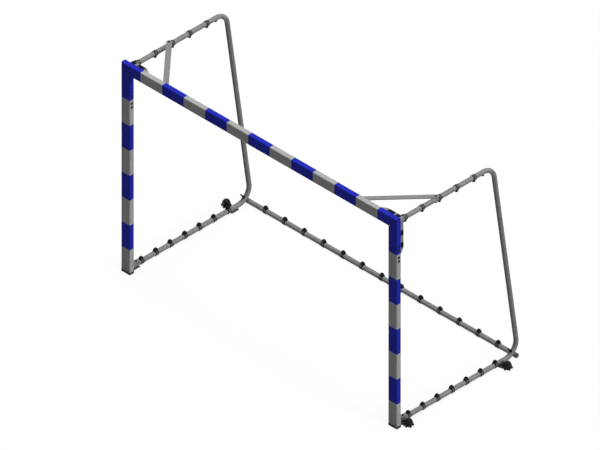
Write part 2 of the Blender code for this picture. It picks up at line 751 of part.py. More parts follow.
def make_foot_bolts(foot_brackets, materials, home):
    """One bolt into the post and one pivot bolt through the hoop's end, at each foot bracket."""
    length = LUG_THICKNESS + PROFILE_WALL + BOLT_TAIL
    seat_y = REAR_Y + SEAT_GAP + LUG_THICKNESS
    lug_top = FOOT_LUG_Z + LUG_THICKNESS
    entries = []
    pivots = []
    for side, sign in SIDES.items():
        x = sign * POST_X
        entries.append(("foot_bracket_bolt_" + side, (x, seat_y, FOOT_BOLT_HEIGHT), (0, 1, 0)))
        pivots.append(("foot_pivot_bolt_" + side, (x, PIVOT_Y, lug_top), (0, 0, 1)))
        bolt_start = (x, seat_y + BOLT_HEAD, FOOT_BOLT_HEIGHT)
        bolt_hole = (bolt_start, (0, -3 * BOLT_HEAD, 0), BOLT_RADIUS)
        pivot_hole = ((x, PIVOT_Y, lug_top + BOLT_HEAD), (0, 0, -3 * BOLT_HEAD), BOLT_RADIUS)
        drill(foot_brackets[side], home, materials["steel"], [bolt_hole, pivot_hole])
    add_bolts(entries, BOLT_SIZES, length, materials["bolt"], home)
    pivot_length = lug_top - 2 * STUD_TIP_HEIGHT
    add_bolts(pivots, BOLT_SIZES, pivot_length, materials["bolt"], home)


def make_upper_pivots(materials, home):
    lug_top = ARM_TOP_Z + LUG_THICKNESS
    length = TUBE_DIAMETER + 2 * (SEAT_GAP + LUG_THICKNESS)
    entries = []
    for side, sign in SIDES.items():
        entries.append(("arm_pivot_bolt_" + side, (sign * POST_X, PIVOT_Y, lug_top), (0, 0, 1)))
    add_bolts(entries, BOLT_SIZES, length, materials["bolt"], home)


def brace_bolt_place():
    """Outward distance and height of the bolt that holds a brace on the crossbar."""
    return BRACE_BAR_X - BRACE_BOLT_OFFSET, TOP_Z - BRACE_BOLT_HEIGHT


def make_braces(materials, home):
    """A flat bar from the top of each arm to a foot plate on the crossbar's back."""
    base_y = REAR_Y + SEAT_GAP
    run = Vector((POST_X - BRACE_BAR_X, BRACE_ARM_REACH - REAR_Y, 0))
    along = run.normalized()
    across = Vector((-along.y, along.x, 0))
    half = BRACE_WIDTH / 2
    arm_end = Vector((POST_X, BRACE_ARM_REACH, 0))
    outline = []
    for step in range(BRACE_END_STEPS + 1):
        angle = -math.pi / 2 + math.pi * step / BRACE_END_STEPS
        outline.append(arm_end + half * (math.cos(angle) * along + math.sin(angle) * across))
    plate_middle_y = base_y + FOOT_PLATE_THICKNESS / 2
    for edge in (1, -1):
        edge_point = arm_end + edge * half * across
        travel = (edge_point.y - plate_middle_y) / along.y
        outline.append(edge_point - travel * along)
    for side, sign in SIDES.items():
        builder = bmesh.new()
        levels = (ARM_TOP_Z, ARM_TOP_Z + BRACE_THICKNESS)
        loft(builder, [[Vector((sign * p.x, p.y, z)) for p in outline] for z in levels])
        item = add_object("brace_" + side, builder, materials["tube"], home)

        builder = bmesh.new()
        plate_end = BRACE_BAR_X + FOOT_PLATE_LENGTH / 2 - FOOT_PLATE_OFFSET
        across_x = sorted((sign * plate_end, sign * (plate_end - FOOT_PLATE_LENGTH)))
        bolt_z = brace_bolt_place()[1]
        low = (across_x[0], base_y, bolt_z - FOOT_PLATE_HEIGHT / 2)
        high = (across_x[1], base_y + FOOT_PLATE_THICKNESS, bolt_z + FOOT_PLATE_HEIGHT / 2)
        loft(builder, box_rings(low, high))
        tool = add_object("brace_foot_" + side, builder, materials["tube"], home)
        combine(item, tool, "UNION")

        x, z = brace_bolt_place()
        bar_hole = ((sign * x, base_y + 2 * BOLT_HEAD, z), (0, -3 * BOLT_HEAD, 0), BOLT_RADIUS)
        arm_start = (sign * POST_X, BRACE_ARM_REACH, ARM_TOP_Z + 2 * BOLT_HEAD)
        arm_hole = (arm_start, (0, 0, -3 * BOLT_HEAD), BOLT_RADIUS)
        drill(item, home, materials["tube"], [bar_hole, arm_hole])


def make_brace_bolts(materials, home):
    """One bolt through each arm and one into the crossbar's back wall."""
    x, z = brace_bolt_place()
    seat_y = REAR_Y + SEAT_GAP + FOOT_PLATE_THICKNESS
    top_z = ARM_TOP_Z + BRACE_THICKNESS
    arm_entries = []
    bar_entries = []
    for side, sign in SIDES.items():
        arm_entries.append(("brace_arm_bolt_" + side, (sign * POST_X, BRACE_ARM_REACH, top_z), (0, 0, 1)))
        bar_entries.append(("brace_bar_bolt_" + side, (sign * x, seat_y, z), (0, 1, 0)))
    arm_length = BRACE_THICKNESS + TUBE_DIAMETER + BOLT_HEAD + BOLT_TAIL
    add_bolts(arm_entries, BOLT_SIZES, arm_length, materials["bolt"], home)
    bar_length = FOOT_PLATE_THICKNESS + PROFILE_WALL + BOLT_TAIL
    add_bolts(bar_entries, BOLT_SIZES, bar_length, materials["bolt"], home)


def drill_hoop_bolt_holes(hoops, materials, home):
    """Vertical holes through both ends of each hoop and through its arm under the brace."""
    reach = (0, 0, -2 * TUBE_DIAMETER)
    for side, sign in SIDES.items():
        holes = [
            ((sign * POST_X, PIVOT_Y, ARM_Z + TUBE_DIAMETER), reach, BOLT_RADIUS),
            ((sign * POST_X, BRACE_ARM_REACH, ARM_Z + TUBE_DIAMETER), reach, BOLT_RADIUS),
            ((sign * POST_X, PIVOT_Y, FLOOR_TUBE_Z + TUBE_DIAMETER), reach, BOLT_RADIUS),
        ]
        drill(hoops[side], home, materials["tube"], holes)


def main():
    clear_scene()
    home = bpy.data.objects.new("goal_home", None)
    bpy.context.scene.collection.objects.link(home)
    home.location = (0, -TOTAL_DEPTH / 2, 0)
    materials = {
        "post": make_material("striped_aluminium", (0.72, 0.72, 0.70), 0.4, 0.0),
        "cap": make_material("black_plastic_cap", (0.02, 0.02, 0.02), 0.5, 0.0),
        "cast": make_material("cast_aluminium", (0.6, 0.6, 0.6), 0.55, 1.0),
        "steel": make_material("galvanised_steel", (0.62, 0.62, 0.6), 0.45, 1.0),
        "tube": make_material("galvanised_tube", (0.5, 0.5, 0.5), 0.5, 1.0),
        "bolt": make_material("blackened_steel", (0.03, 0.03, 0.03), 0.4, 1.0),
        "knob": make_material("black_moulded_plastic", (0.03, 0.03, 0.03), 0.45, 0.0),
    }
    profiles = make_posts(materials, home)
    profiles["bar"] = make_crossbar(materials, home)
    make_foot_caps(materials, home)
    connectors = make_connectors(materials, home)
    brackets = make_brackets(materials, home)
    foot_brackets = make_foot_brackets(materials, home)
    hoops = make_hoops(materials, home)
    rear_bar = make_rear_bar(materials, home)
    make_clamps(materials, home)
    drill_clamp_holes(hoops, rear_bar, materials, home)
    drill_hoop_bolt_holes(hoops, materials, home)
    make_anchor_plates(materials, home)
    make_star_knobs(materials, home)
    make_bracket_bolts(brackets, connectors, profiles, materials, home)
    make_side_screws(materials, home)
    make_foot_bolts(foot_brackets, materials, home)
    make_upper_pivots(materials, home)
    make_braces(materials, home)
    make_brace_bolts(materials, home)


main()
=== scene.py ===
"""Looks of a youth handball goal: striped paint, zinc coated tubes, net clips, knobs and fasteners.

Lengths are in metres in the frame's own space: +X along the crossbar, +Y to the back and +Z up.
Each finish is named for the real one, and its colours are sRGB hex values.
"""

import math

import bmesh
import bpy
from bpy.props import FloatProperty, FloatVectorProperty, IntProperty, StringProperty
from mathutils import Matrix, Vector


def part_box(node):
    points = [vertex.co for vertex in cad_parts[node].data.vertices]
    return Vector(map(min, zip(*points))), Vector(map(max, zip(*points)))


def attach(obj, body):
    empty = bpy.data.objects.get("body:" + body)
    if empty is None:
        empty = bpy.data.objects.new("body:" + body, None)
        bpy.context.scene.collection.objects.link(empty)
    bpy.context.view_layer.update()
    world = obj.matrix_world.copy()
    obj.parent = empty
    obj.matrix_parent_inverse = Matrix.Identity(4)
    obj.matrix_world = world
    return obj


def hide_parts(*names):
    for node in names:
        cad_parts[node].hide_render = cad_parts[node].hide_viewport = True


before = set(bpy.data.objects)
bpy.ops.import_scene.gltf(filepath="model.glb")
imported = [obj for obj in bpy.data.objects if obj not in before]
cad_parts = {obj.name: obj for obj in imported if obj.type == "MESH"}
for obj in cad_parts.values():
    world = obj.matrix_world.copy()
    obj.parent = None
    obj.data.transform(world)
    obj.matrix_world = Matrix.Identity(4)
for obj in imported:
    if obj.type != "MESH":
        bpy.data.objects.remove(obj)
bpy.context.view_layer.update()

bl_info = {
    "name": "Handball goal looks",
    "version": (1, 0, 0),
    "blender": (4, 5, 0),
    "location": "3D View > Sidebar > Goal",
    "description": "Finishes and fine pieces of a youth handball goal",
    "category": "Object",
}

# The CAD's own box, the body of all fixed pieces, and the two ways that names end
GOAL = "goal_frame"
SIDES = {"left": -1, "right": 1}
ENDS = ("front", "rear")

# Places read from the frame
POST_LOW, POST_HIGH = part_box("post_right")
HOOP_LOW, HOOP_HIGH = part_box("net_hoop_right")
BAR_LOW, BAR_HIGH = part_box("rear_ground_bar")
CROSSBAR_TOP = POST_HIGH.z
OUTER_X = POST_HIGH.x
INNER_X = POST_LOW.x
FRONT_Y = POST_LOW.y
POST_MIDDLE_Y = (POST_LOW.y + POST_HIGH.y) / 2
HOOP_X = (HOOP_LOW.x + HOOP_HIGH.x) / 2
TUBE_RADIUS = (HOOP_HIGH.x - HOOP_LOW.x) / 2
ARM_Z = HOOP_HIGH.z - TUBE_RADIUS
FLOOR_TUBE_Z = HOOP_LOW.z + TUBE_RADIUS
ARM_FRONT_Y = min(v.co.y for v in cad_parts["net_hoop_right"].data.vertices if v.co.z > ARM_Z / 2)
BAR_Y = (BAR_LOW.y + BAR_HIGH.y) / 2
BAR_Z = (BAR_LOW.z + BAR_HIGH.z) / 2

# Star knob from its seat up: radius at the lobes, radius between them, height, and the hollows' rise
KNOB_ROWS = (
    (0.0346, 0.0264, 0.0003, 0.0066), (0.0357, 0.0276, 0.0008, 0.0070), (0.0360, 0.0282, 0.0020, 0.0072),
    (0.0360, 0.0285, 0.0112, 0.0008), (0.0354, 0.0282, 0.0134, 0.0002), (0.0338, 0.0275, 0.0147, 0),
    (0.0314, 0.0266, 0.0166, 0), (0.0299, 0.0258, 0.0206, 0), (0.0287, 0.0252, 0.0270, 0),
    (0.0273, 0.0245, 0.0333, 0), (0.0253, 0.0236, 0.0388, 0), (0.0227, 0.0219, 0.0432, 0),
    (0.0196, 0.0194, 0.0469, 0), (0.0158, 0.0158, 0.0498, 0), (0.0112, 0.0112, 0.0515, 0),
    (0.0070, 0.0070, 0.0519, 0),
)

# Section of a foot band: out from the profile's faces, and height
BAND_SECTION = (
    (0.0001, 0.0002), (0.0012, 0.0002), (0.0018, 0.0009),
    (0.0018, 0.0135), (0.0011, 0.0150), (0.0001, 0.0154),
)

# Rounded face of a plug for a tube's end: in from the tube's surface, and height
PLUG_FACE = ((0, 0.0016), (0.0006, 0.0026), (0.002, 0.0031), (0.0045, 0.0031), (0.0062, 0.0022))

# The profile's corner radius, thread pitches, and how finely round shapes are cut
PROFILE_CORNER = 0.005
BOLT_PITCH = 0.00125
CLAMP_PITCH = 0.0015
SMOOTH_ANGLE = math.radians(32)
ROUND_SIDES = 48
SMALL_SIDES = 36
KNOB_SIDES = 96
BEND_STEPS = 24
ARC_STEPS = 4

# Sockets of a mix node that blends colours
FACTOR, COLOR_A, COLOR_B = 0, 6, 7


def length_property(name, description, default):
    """A length in metres."""
    return FloatProperty(name=name, description=description, default=default, unit="LENGTH")


def angle_property(name, description, default):
    return FloatProperty(name=name, description=description, default=default, subtype="ANGLE")


def number_property(name, description, default):
    return FloatProperty(name=name, description=description, default=default)


def count_property(name, description, default):
    return IntProperty(name=name, description=description, default=default)


def color_property(name, description, default):
    """A colour as an sRGB hex value."""
    return StringProperty(name=name, description=description, default=default)


class GoalPaint(bpy.types.PropertyGroup):
    stripe: length_property("Stripe", "Length of one stripe", 0.2)
    corner: length_property("Corner", "Height where the blue corner starts", 1.4)
    seam: length_property("Mitre seam", "Half width of the dark mitre seam", 0.0021)
    white: color_property("White", "sRGB colour of the pale stripes", "#DCDCDC")
    blue: color_property("Blue", "sRGB colour of the blue stripes", "#2F3ADE")


class GoalTubes(bpy.types.PropertyGroup):
    bend: length_property("Bend", "Bend radius at the axis", 0.105)
    wall: length_property("Wall", "Wall of the tube", 0.0025)
    arm_reach: length_property("Arm reach", "Arm's axis from the front to the leg's axis", 0.932)
    floor_reach: length_property("Floor reach", "Floor tube's axis from the front to the leg's axis", 1.164)
    bore: length_property("Bore", "Depth of the open ends", 0.06)
    zinc: color_property("Zinc", "sRGB colour of the zinc coat", "#AFAFAD")


class GoalClips(bpy.types.PropertyGroup):
    width: length_property("Width", "Length of a clip along its tube", 0.026)
    wall: length_property("Wall", "Wall of the clip's ring", 0.0035)
    edge: length_property("Edge", "Width of a clip's black edge", 0.005)
    top: length_property("Hook top", "Hook's top from the tube's axis", 0.0355)
    arm_top: length_property("Arm hook", "Depth of a hook below an arm's axis", 0.0315)
    stop: length_property("Stop", "Arm's stop from the front", 0.836)
    arm_first: length_property("First on arm", "First clip on an arm from the front", 0.112)
    arm_pitch: length_property("Arm pitch", "Clip pitch on an arm", 0.16)
    arm_count: count_property("On arm", "Clips on an arm", 5)
    floor_first: length_property("First on floor tube", "First clip on a floor tube from the front", 0.145)
    floor_pitch: length_property("Floor pitch", "Clip pitch on a floor tube", 0.1346)
    floor_count: count_property("On floor tube", "Clips on a floor tube", 7)
    bar_first: length_property("First on rear bar", "First clip on the rear bar in X", -1.07)
    bar_pitch: length_property("Bar pitch", "Clip pitch on the rear bar", 0.18)
    bar_count: count_property("On rear bar", "Clips on the rear bar", 13)


class GoalKnobs(bpy.types.PropertyGroup):
    lobes: count_property("Lobes", "Lobes of a star knob", 6)
    turn: angle_property("Turn", "Where the first lobe points", math.radians(40))
    point: number_property("Point", "How narrow the lobes' tips are", 1.35)


class GoalFasteners(bpy.types.PropertyGroup):
    bolt_flats: length_property("Bolt flats", "Bolt head over its flats", 0.013)
    bolt_head: length_property("Bolt head", "Height of a bolt head", 0.0055)
    bolt_radius: length_property("Bolt shank", "Radius of a bolt's shank", 0.004)
    # The guard is a black block that paints the shade inside a bracket's notch
    guard: length_property("Guard", "Length of the guard in a bracket's notch", 0.0342)
    screw_head: length_property("Screw head", "Height of a side screw's head", 0.003)
    screw_radius: length_property("Screw radius", "Radius of a side screw's head", 0.0075)
    screw_flange: length_property("Screw flange", "Radius of the flange under a side screw's head", 0.0108)
    clamp_flats: length_property("Clamp flats", "Clamp nut over its flats", 0.017)
    clamp_radius: length_property("Clamp stud", "Radius of the clamp's stud", 0.005)
    clamp_angle: angle_property("Clamp angle", "Clamp's tilt below the level", math.radians(50.6))


class GoalStage(bpy.types.PropertyGroup):
    azimuth: angle_property("Azimuth", "Camera's turn round the goal", math.radians(45))
    elevation: angle_property("Elevation", "Camera's height angle", math.atan(math.sqrt(0.5)))
    width: length_property("View width", "Width that the camera sees", 3.941)
    target: FloatVectorProperty(
        name="Target", description="Point in the middle of the picture", default=(0.1906, -0.392, 1.0051),
        subtype="TRANSLATION", size=3,
    )
    top: number_property("Top lamp", "Strength of the lamp overhead", 1.35)
    side: number_property("Side lamp", "Strength of the low lamp on the right", 0.92)
    fill: number_property("Fill", "Strength of the sky for soft light", 0.136)
    floor: color_property("Floor", "sRGB colour of the floor", "#FFFFFF")


GROUPS = {
    "goal_paint": GoalPaint,
    "goal_tubes": GoalTubes,
    "goal_clips": GoalClips,
    "goal_knobs": GoalKnobs,
    "goal_fasteners": GoalFasteners,
    "goal_stage": GoalStage,
}


def linear(color):
    """Linear RGBA of an sRGB hex colour."""
    levels = [int(color[start:start + 2], 16) / 255 for start in (1, 3, 5)]
    straight = [level / 12.92 if level <= 0.04045 else ((level + 0.055) / 1.055) ** 2.4 for level in levels]
    return (*straight, 1.0)


def feed(tree, node, inputs):
    """Set or link a node's inputs; a node as a value stands for its first working output."""
    for socket, value in inputs.items():
        if isinstance(value, bpy.types.Node):
            value = next(output for output in value.outputs if output.enabled)
        if isinstance(value, bpy.types.NodeSocket):
            tree.links.new(value, node.inputs[socket])
        else:
            node.inputs[socket].default_value = value


def add(tree, kind, inputs=None, **settings):
    """Add a node with its settings and links."""
    node = tree.nodes.new(kind)
    for name, value in settings.items():
        setattr(node, name, value)
    feed(tree, node, inputs or {})
    return node


def start_finish(name, roughness, metallic=0.0, specular=0.5):
    """Start a material; gives it with its tree, its shader and the place on the piece."""
    material = bpy.data.materials.new(name)
    material.use_nodes = True
    tree = material.node_tree
    shader = tree.nodes["Principled BSDF"]
    feed(tree, shader, {"Metallic": metallic, "Roughness": roughness, "Specular IOR Level": specular})
    place = add(tree, "ShaderNodeTexCoord").outputs["Object"]
    return material, tree, shader, place


def mottle(tree, place, size, low, high, detail=3.0, start=0.3, end=0.7):
    """A value from low to high in blotches of a real size, sharper where start and end are close."""
    noise = add(tree, "ShaderNodeTexNoise", {"Vector": place, "Scale": 1 / size, "Detail": detail})
    inputs = {"Value": noise, "From Min": start, "From Max": end, "To Min": low, "To Max": high}
    return add(tree, "ShaderNodeMapRange", inputs)


def grain_relief(tree, place, size, depth, detail=1.0, strength=1.0):
    """Relief of grains of a real size and depth."""
    noise = add(tree, "ShaderNodeTexNoise", {"Vector": place, "Scale": 1 / size, "Detail": detail})
    return add(tree, "ShaderNodeBump", {"Height": noise, "Distance": depth, "Strength": strength})


def stripe_paint(name, axis):
    """Powder coated aluminium with film stripes; axis is the way that the stripes follow each other."""
    paint = bpy.context.scene.goal_paint
    material, tree, shader, place = start_finish(name, 0.42, specular=0.05)
    parts = add(tree, "ShaderNodeSeparateXYZ", {"Vector": place}).outputs
    if axis == "Z":
        highest = paint.corner + paint.stripe / 2
        along = add(tree, "ShaderNodeMath", {0: parts["Z"], 1: highest}, operation="MINIMUM")
    else:
        # Eleven stripes lie between the blue corners of the crossbar
        reach = paint.stripe * 11 / 2
        along = add(tree, "ShaderNodeMath", {0: parts["X"], 1: reach}, operation="ADD")
    share = add(tree, "ShaderNodeMath", {0: along, 1: paint.stripe}, operation="DIVIDE")
    count = add(tree, "ShaderNodeMath", {0: share}, operation="FLOOR")
    blue = add(tree, "ShaderNodeMath", {0: count, 1: 2.0}, operation="FLOORED_MODULO")
    inputs = {FACTOR: blue, COLOR_A: linear(paint.white), COLOR_B: linear(paint.blue)}
    stripes = add(tree, "ShaderNodeMix", inputs, data_type="RGBA")

    # A satin coat shows faint clouds a hand wide
    inputs = {FACTOR: 1.0, COLOR_A: stripes, COLOR_B: mottle(tree, place, 0.11, 0.93, 1.0)}
    clouded = add(tree, "ShaderNodeMix", inputs, data_type="RGBA", blend_type="MULTIPLY")

    # Hall dust and ball marks gather on the lowest hand's width of the posts
    inputs = {"Value": parts["Z"], "From Min": 0.0, "From Max": 0.14, "To Min": 0.5, "To Max": 0.0}
    dust = add(tree, "ShaderNodeMapRange", inputs)
    marks = mottle(tree, place, 0.018, 0.0, 1.0, detail=6.0, start=0.45, end=0.62)
    soiled = add(tree, "ShaderNodeMath", {0: dust, 1: marks}, operation="MULTIPLY")
    inputs = {FACTOR: soiled, COLOR_A: clouded, COLOR_B: linear("#8C877C")}
    dusty = add(tree, "ShaderNodeMix", inputs, data_type="RGBA")

    # The mitre shows as a dark seam where the two profiles meet
    corner_low = CROSSBAR_TOP - (OUTER_X - INNER_X)
    half_seam = paint.seam * math.sqrt(2)
    outward = add(tree, "ShaderNodeMath", {0: parts["X"]}, operation="ABSOLUTE")
    across = add(tree, "ShaderNodeMath", {0: outward, 1: INNER_X}, operation="SUBTRACT")
    rise = add(tree, "ShaderNodeMath", {0: parts["Z"], 1: corner_low}, operation="SUBTRACT")
    beside = add(tree, "ShaderNodeMath", {0: across, 1: rise}, operation="SUBTRACT")
    offset = add(tree, "ShaderNodeMath", {0: beside}, operation="ABSOLUTE")
    seam = add(tree, "ShaderNodeMath", {0: offset, 1: half_seam}, operation="LESS_THAN")
    inputs = {FACTOR: seam, COLOR_A: dusty, COLOR_B: linear("#04050E")}
    color = add(tree, "ShaderNodeMix", inputs, data_type="RGBA")

    # Powder coat has an orange peel with bumps about 1.5 mm wide
    peel = grain_relief(tree, place, 0.0015, 0.00003, strength=0.5)
    gloss = mottle(tree, place, 0.06, 0.36, 0.5)
    feed(tree, shader, {"Base Color": color, "Roughness": gloss, "Normal": peel})
    return material


def galvanised_tube():
    """Hot dip galvanised steel tube: a dull grey coat with clouds of 35 mm and a grain of 2 mm."""
    material, tree, shader, place = start_finish("hot_dip_galvanised_tube", 0.6, specular=0.08)
    zinc = linear(bpy.context.scene.goal_tubes.zinc)
    cloud = mottle(tree, place, 0.035, 0.8, 1.06, detail=4.0)
    grain = mottle(tree, place, 0.0022, 0.93, 1.05, detail=2.0)
    tone = add(tree, "ShaderNodeMath", {0: cloud, 1: grain}, operation="MULTIPLY")
    inputs = {FACTOR: 1.0, COLOR_A: zinc, COLOR_B: tone}
    color = add(tree, "ShaderNodeMix", inputs, data_type="RGBA", blend_type="MULTIPLY")
    gloss = mottle(tree, place, 0.02, 0.42, 0.62)
    relief = grain_relief(tree, place, 0.004, 0.00008, detail=3.0, strength=0.6)
    feed(tree, shader, {"Base Color": color, "Roughness": gloss, "Normal": relief})
    return material


def galvanised_sheet(name, zinc):
    """Hot dip galvanised steel: zinc flowers about 9 mm across, each with its own tone."""
    material, tree, shader, place = start_finish(name, 0.55, specular=0.1)
    flowers = add(tree, "ShaderNodeTexVoronoi", {"Vector": place, "Scale": 1 / 0.009})
    flower = add(tree, "ShaderNodeSeparateColor", {"Color": flowers.outputs["Color"]})
    shade = add(tree, "ShaderNodeMapRange", {"Value": flower, "To Min": 0.84, "To Max": 1.05})
    stain = mottle(tree, place, 0.03, 0.86, 1.02, detail=4.0)
    tone = add(tree, "ShaderNodeMath", {0: shade, 1: stain}, operation="MULTIPLY")
    inputs = {FACTOR: 1.0, COLOR_A: linear(zinc), COLOR_B: tone}
    color = add(tree, "ShaderNodeMix", inputs, data_type="RGBA", blend_type="MULTIPLY")
    gloss = add(tree, "ShaderNodeMapRange", {"Value": flower, "To Min": 0.34, "To Max": 0.52})
    inputs = {"Height": flowers.outputs["Distance"], "Distance": 0.00006, "Strength": 0.4}
    relief = add(tree, "ShaderNodeBump", inputs)
    feed(tree, shader, {"Base Color": color, "Roughness": gloss, "Normal": relief})
    return material


def black_oxide_steel():
    """Black oxide steel: near black, satin, with browner spots where the oil has dried."""
    material, tree, shader, place = start_finish("black_oxide_steel", 0.5, metallic=0.2, specular=0.1)
    spots = mottle(tree, place, 0.004, 0.0, 1.0, detail=4.0, start=0.4, end=0.7)
    inputs = {FACTOR: spots, COLOR_A: linear("#0E0E10"), COLOR_B: linear("#1B1917")}
    color = add(tree, "ShaderNodeMix", inputs, data_type="RGBA")
    gloss = add(tree, "ShaderNodeMapRange", {"Value": spots, "To Min": 0.38, "To Max": 0.58})
    relief = grain_relief(tree, place, 0.0006, 0.00002, detail=2.0, strength=0.5)
    feed(tree, shader, {"Base Color": color, "Roughness": gloss, "Normal": relief})
    return material


def moulded_plastic(name, color, roughness, specular=0.08):
    """Moulded polyamide or polyethylene: matt, with the mould's fine grain of half a millimetre."""
    material, tree, shader, place = start_finish(name, roughness, specular=specular)
    base = linear(color)
    pale = tuple(min(1.0, channel * 1.6 + 0.004) for channel in base[:3]) + (1.0,)
    scuffs = mottle(tree, place, 0.007, 0.0, 1.0, detail=5.0, start=0.5, end=0.72)
    scuffed = add(tree, "ShaderNodeMix", {FACTOR: scuffs, COLOR_A: base, COLOR_B: pale}, data_type="RGBA")
    inputs = {"Value": scuffs, "To Min": roughness, "To Max": roughness + 0.14}
    gloss = add(tree, "ShaderNodeMapRange", inputs)
    relief = grain_relief(tree, place, 0.0005, 0.00003, strength=0.6)
    feed(tree, shader, {"Base Color": scuffed, "Roughness": gloss, "Normal": relief})
    return material


def cast_aluminium():
    """Sand cast aluminium: bright grey and pebbled by the sand, about 0.8 mm a grain."""
    material, tree, shader, place = start_finish("sand_cast_aluminium", 0.55, metallic=1.0)
    tone = mottle(tree, place, 0.02, 0.8, 1.0, detail=4.0)
    inputs = {FACTOR: 1.0, COLOR_A: linear("#BDBDBB"), COLOR_B: tone}
    color = add(tree, "ShaderNodeMix", inputs, data_type="RGBA", blend_type="MULTIPLY")
    relief = grain_relief(tree, place, 0.0008, 0.00015, detail=2.0)
    feed(tree, shader, {"Base Color": color, "Normal": relief})
    return material


# Each finish by the name that the pieces use
FINISHES = {
    "stripes up": lambda: stripe_paint("powder_coat_stripes_up", "Z"),
    "stripes across": lambda: stripe_paint("powder_coat_stripes_across", "X"),
    "tube": galvanised_tube,
    "sheet": lambda: galvanised_sheet("hot_dip_galvanised_sheet", "#B4B4B3"),
    # Thick plate is given a darker zinc than sheet
    "thick plate": lambda: galvanised_sheet("dull_galvanised_plate", "#6A6A69"),
    "black steel": black_oxide_steel,
    "black plastic": lambda: moulded_plastic("black_moulded_polyamide", "#101011", 0.5),
    "knob plastic": lambda: moulded_plastic("satin_moulded_polyamide", "#0C0C0D", 0.34, 0.14),
    "grey plastic": lambda: moulded_plastic("grey_moulded_polyamide", "#6C6D6D", 0.55),
    # The pale plastic is a painted highlight on the plug's face
    "painted highlight plastic": lambda: moulded_plastic("plug_face_painted_highlight", "#A6A7A6", 0.5),
    "cast": cast_aluminium,
}

# Finishes made so far, by kind
made_finishes = {}


def finish(kind):
    """The finish of a kind, made once."""
    if kind not in made_finishes:
        made_finishes[kind] = FINISHES[kind]()
    return made_finishes[kind]


def coat(kind, *nodes):
    """Give CAD nodes a finish."""
    for name in nodes:
        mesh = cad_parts[name].data
        mesh.materials.clear()
        mesh.materials.append(finish(kind))


def both(name):
    """Names of the left and the right one."""
    return [name + "_left", name + "_right"]


def circle(radius, height, sides=SMALL_SIDES):
    angles = [2 * math.pi * index / sides for index in range(sides)]
    return [Vector((radius * math.cos(angle), radius * math.sin(angle), height)) for angle in angles]


def hexagon(flats, height, limit=None):
    """Points of a hexagon over its flats, cut back to a radius where limit gives one."""
    points = []
    for index in range(SMALL_SIDES):
        angle = 2 * math.pi * index / SMALL_SIDES
        reach = flats / 2 / math.cos(angle % (math.pi / 3) - math.pi / 6)
        reach = min(reach, limit or reach)
        points.append(Vector((reach * math.cos(angle), reach * math.sin(angle), height)))
    return points


def box_ring(left, right, near, far, height):
    """Corners of a level rectangle."""
    return [Vector((x, y, height)) for x, y in ((left, near), (right, near), (right, far), (left, far))]


def loft(builder, rings, closed=False, slot=0):
    """Join rings of equally many points; the ends are filled, or joined when closed."""
    rows = [[builder.verts.new(point) for point in ring] for ring in rings]
    pairs = list(zip(rows, rows[1:]))
    faces = []
    if closed:
        pairs.append((rows[-1], rows[0]))
    else:
        faces.append(builder.faces.new(rows[0]))
        faces.append(builder.faces.new(rows[-1]))
    for near, far in pairs:
        for index in range(len(near)):
            after = (index + 1) % len(near)
            faces.append(builder.faces.new((near[index], near[after], far[after], far[index])))
    for face in faces:
        face.material_index = slot
    return faces


def finish_mesh(name, builder, kinds):
    """A mesh with its finishes, smooth but for its sharp edges."""
    bmesh.ops.recalc_face_normals(builder, faces=builder.faces)
    mesh = bpy.data.meshes.new(name)
    builder.to_mesh(mesh)
    builder.free()
    for kind in kinds:
        mesh.materials.append(finish(kind))
    mesh.shade_smooth()
    mesh.set_sharp_from_angle(angle=SMOOTH_ANGLE)
    return mesh


def turned_mesh(name, rings, kind, closed=False):
    """A mesh of joined rings in one finish."""
    builder = bmesh.new()
    loft(builder, rings, closed)
    return finish_mesh(name, builder, [kind])


def add_piece(name, mesh, point=(0, 0, 0), turn=None, body=GOAL, stands_for=()):
    """Put a piece in the scene and on its body, and hide the CAD nodes that it stands for."""
    item = bpy.data.objects.new(name, mesh)
    bpy.context.scene.collection.objects.link(item)
    item.matrix_world = Matrix.LocRotScale(Vector(point), turn, None)
    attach(item, body)
    if stands_for:
        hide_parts(*stands_for)


def turn_to(axis):
    """The turn that lays +Z along an axis."""
    return Vector((0, 0, 1)).rotation_difference(Vector(axis))


def swept_rings(points, radius, across):
    """Circles along a path, square to it; across is a direction square to the whole path."""
    angles = [2 * math.pi * step / ROUND_SIDES for step in range(ROUND_SIDES)]
    rings = []
    for index, point in enumerate(points):
        before = points[max(index - 1, 0)]
        after = points[min(index + 1, len(points) - 1)]
        other = (after - before).normalized().cross(across).normalized()
        rings.append([
            point + radius * (math.cos(angle) * across + math.sin(angle) * other) for angle in angles
        ])
    return rings


def thread_rings(radius, low, high, pitch):
    """Ridges of a thread as rings from low to high."""
    rings = []
    height = low
    while height + pitch <= high:
        rings.append(circle(radius * 0.9, height))
        rings.append(circle(radius, height + pitch * 0.35))
        rings.append(circle(radius, height + pitch * 0.65))
        height += pitch
    return rings


def head_rings(flats, height):
    """A hexagon head with a washer face below and chamfered corners on top."""
    rim = flats / 2
    return [
        circle(rim * 0.94, 0),
        circle(rim * 0.94, height * 0.07),
        hexagon(flats, height * 0.1),
        hexagon(flats, height * 0.8),
        hexagon(flats, height * 0.95, rim),
        hexagon(flats, height, rim * 0.9),
        circle(rim * 0.62, height),
        circle(rim * 0.55, height * 0.94),
    ]


def bolt_mesh(length):
    sizes = bpy.context.scene.goal_fasteners
    radius = sizes.bolt_radius
    tip = 0.0008
    thread = 0.012
    rings = [circle(radius * 0.75, -length)]
    rings += thread_rings(radius, tip - length, min(thread - length, -0.001), BOLT_PITCH)
    rings += [circle(radius, -0.0005), circle(radius, 0)]
    rings += head_rings(sizes.bolt_flats, sizes.bolt_head)
    return turned_mesh("hexagon_bolt", rings, "black steel")


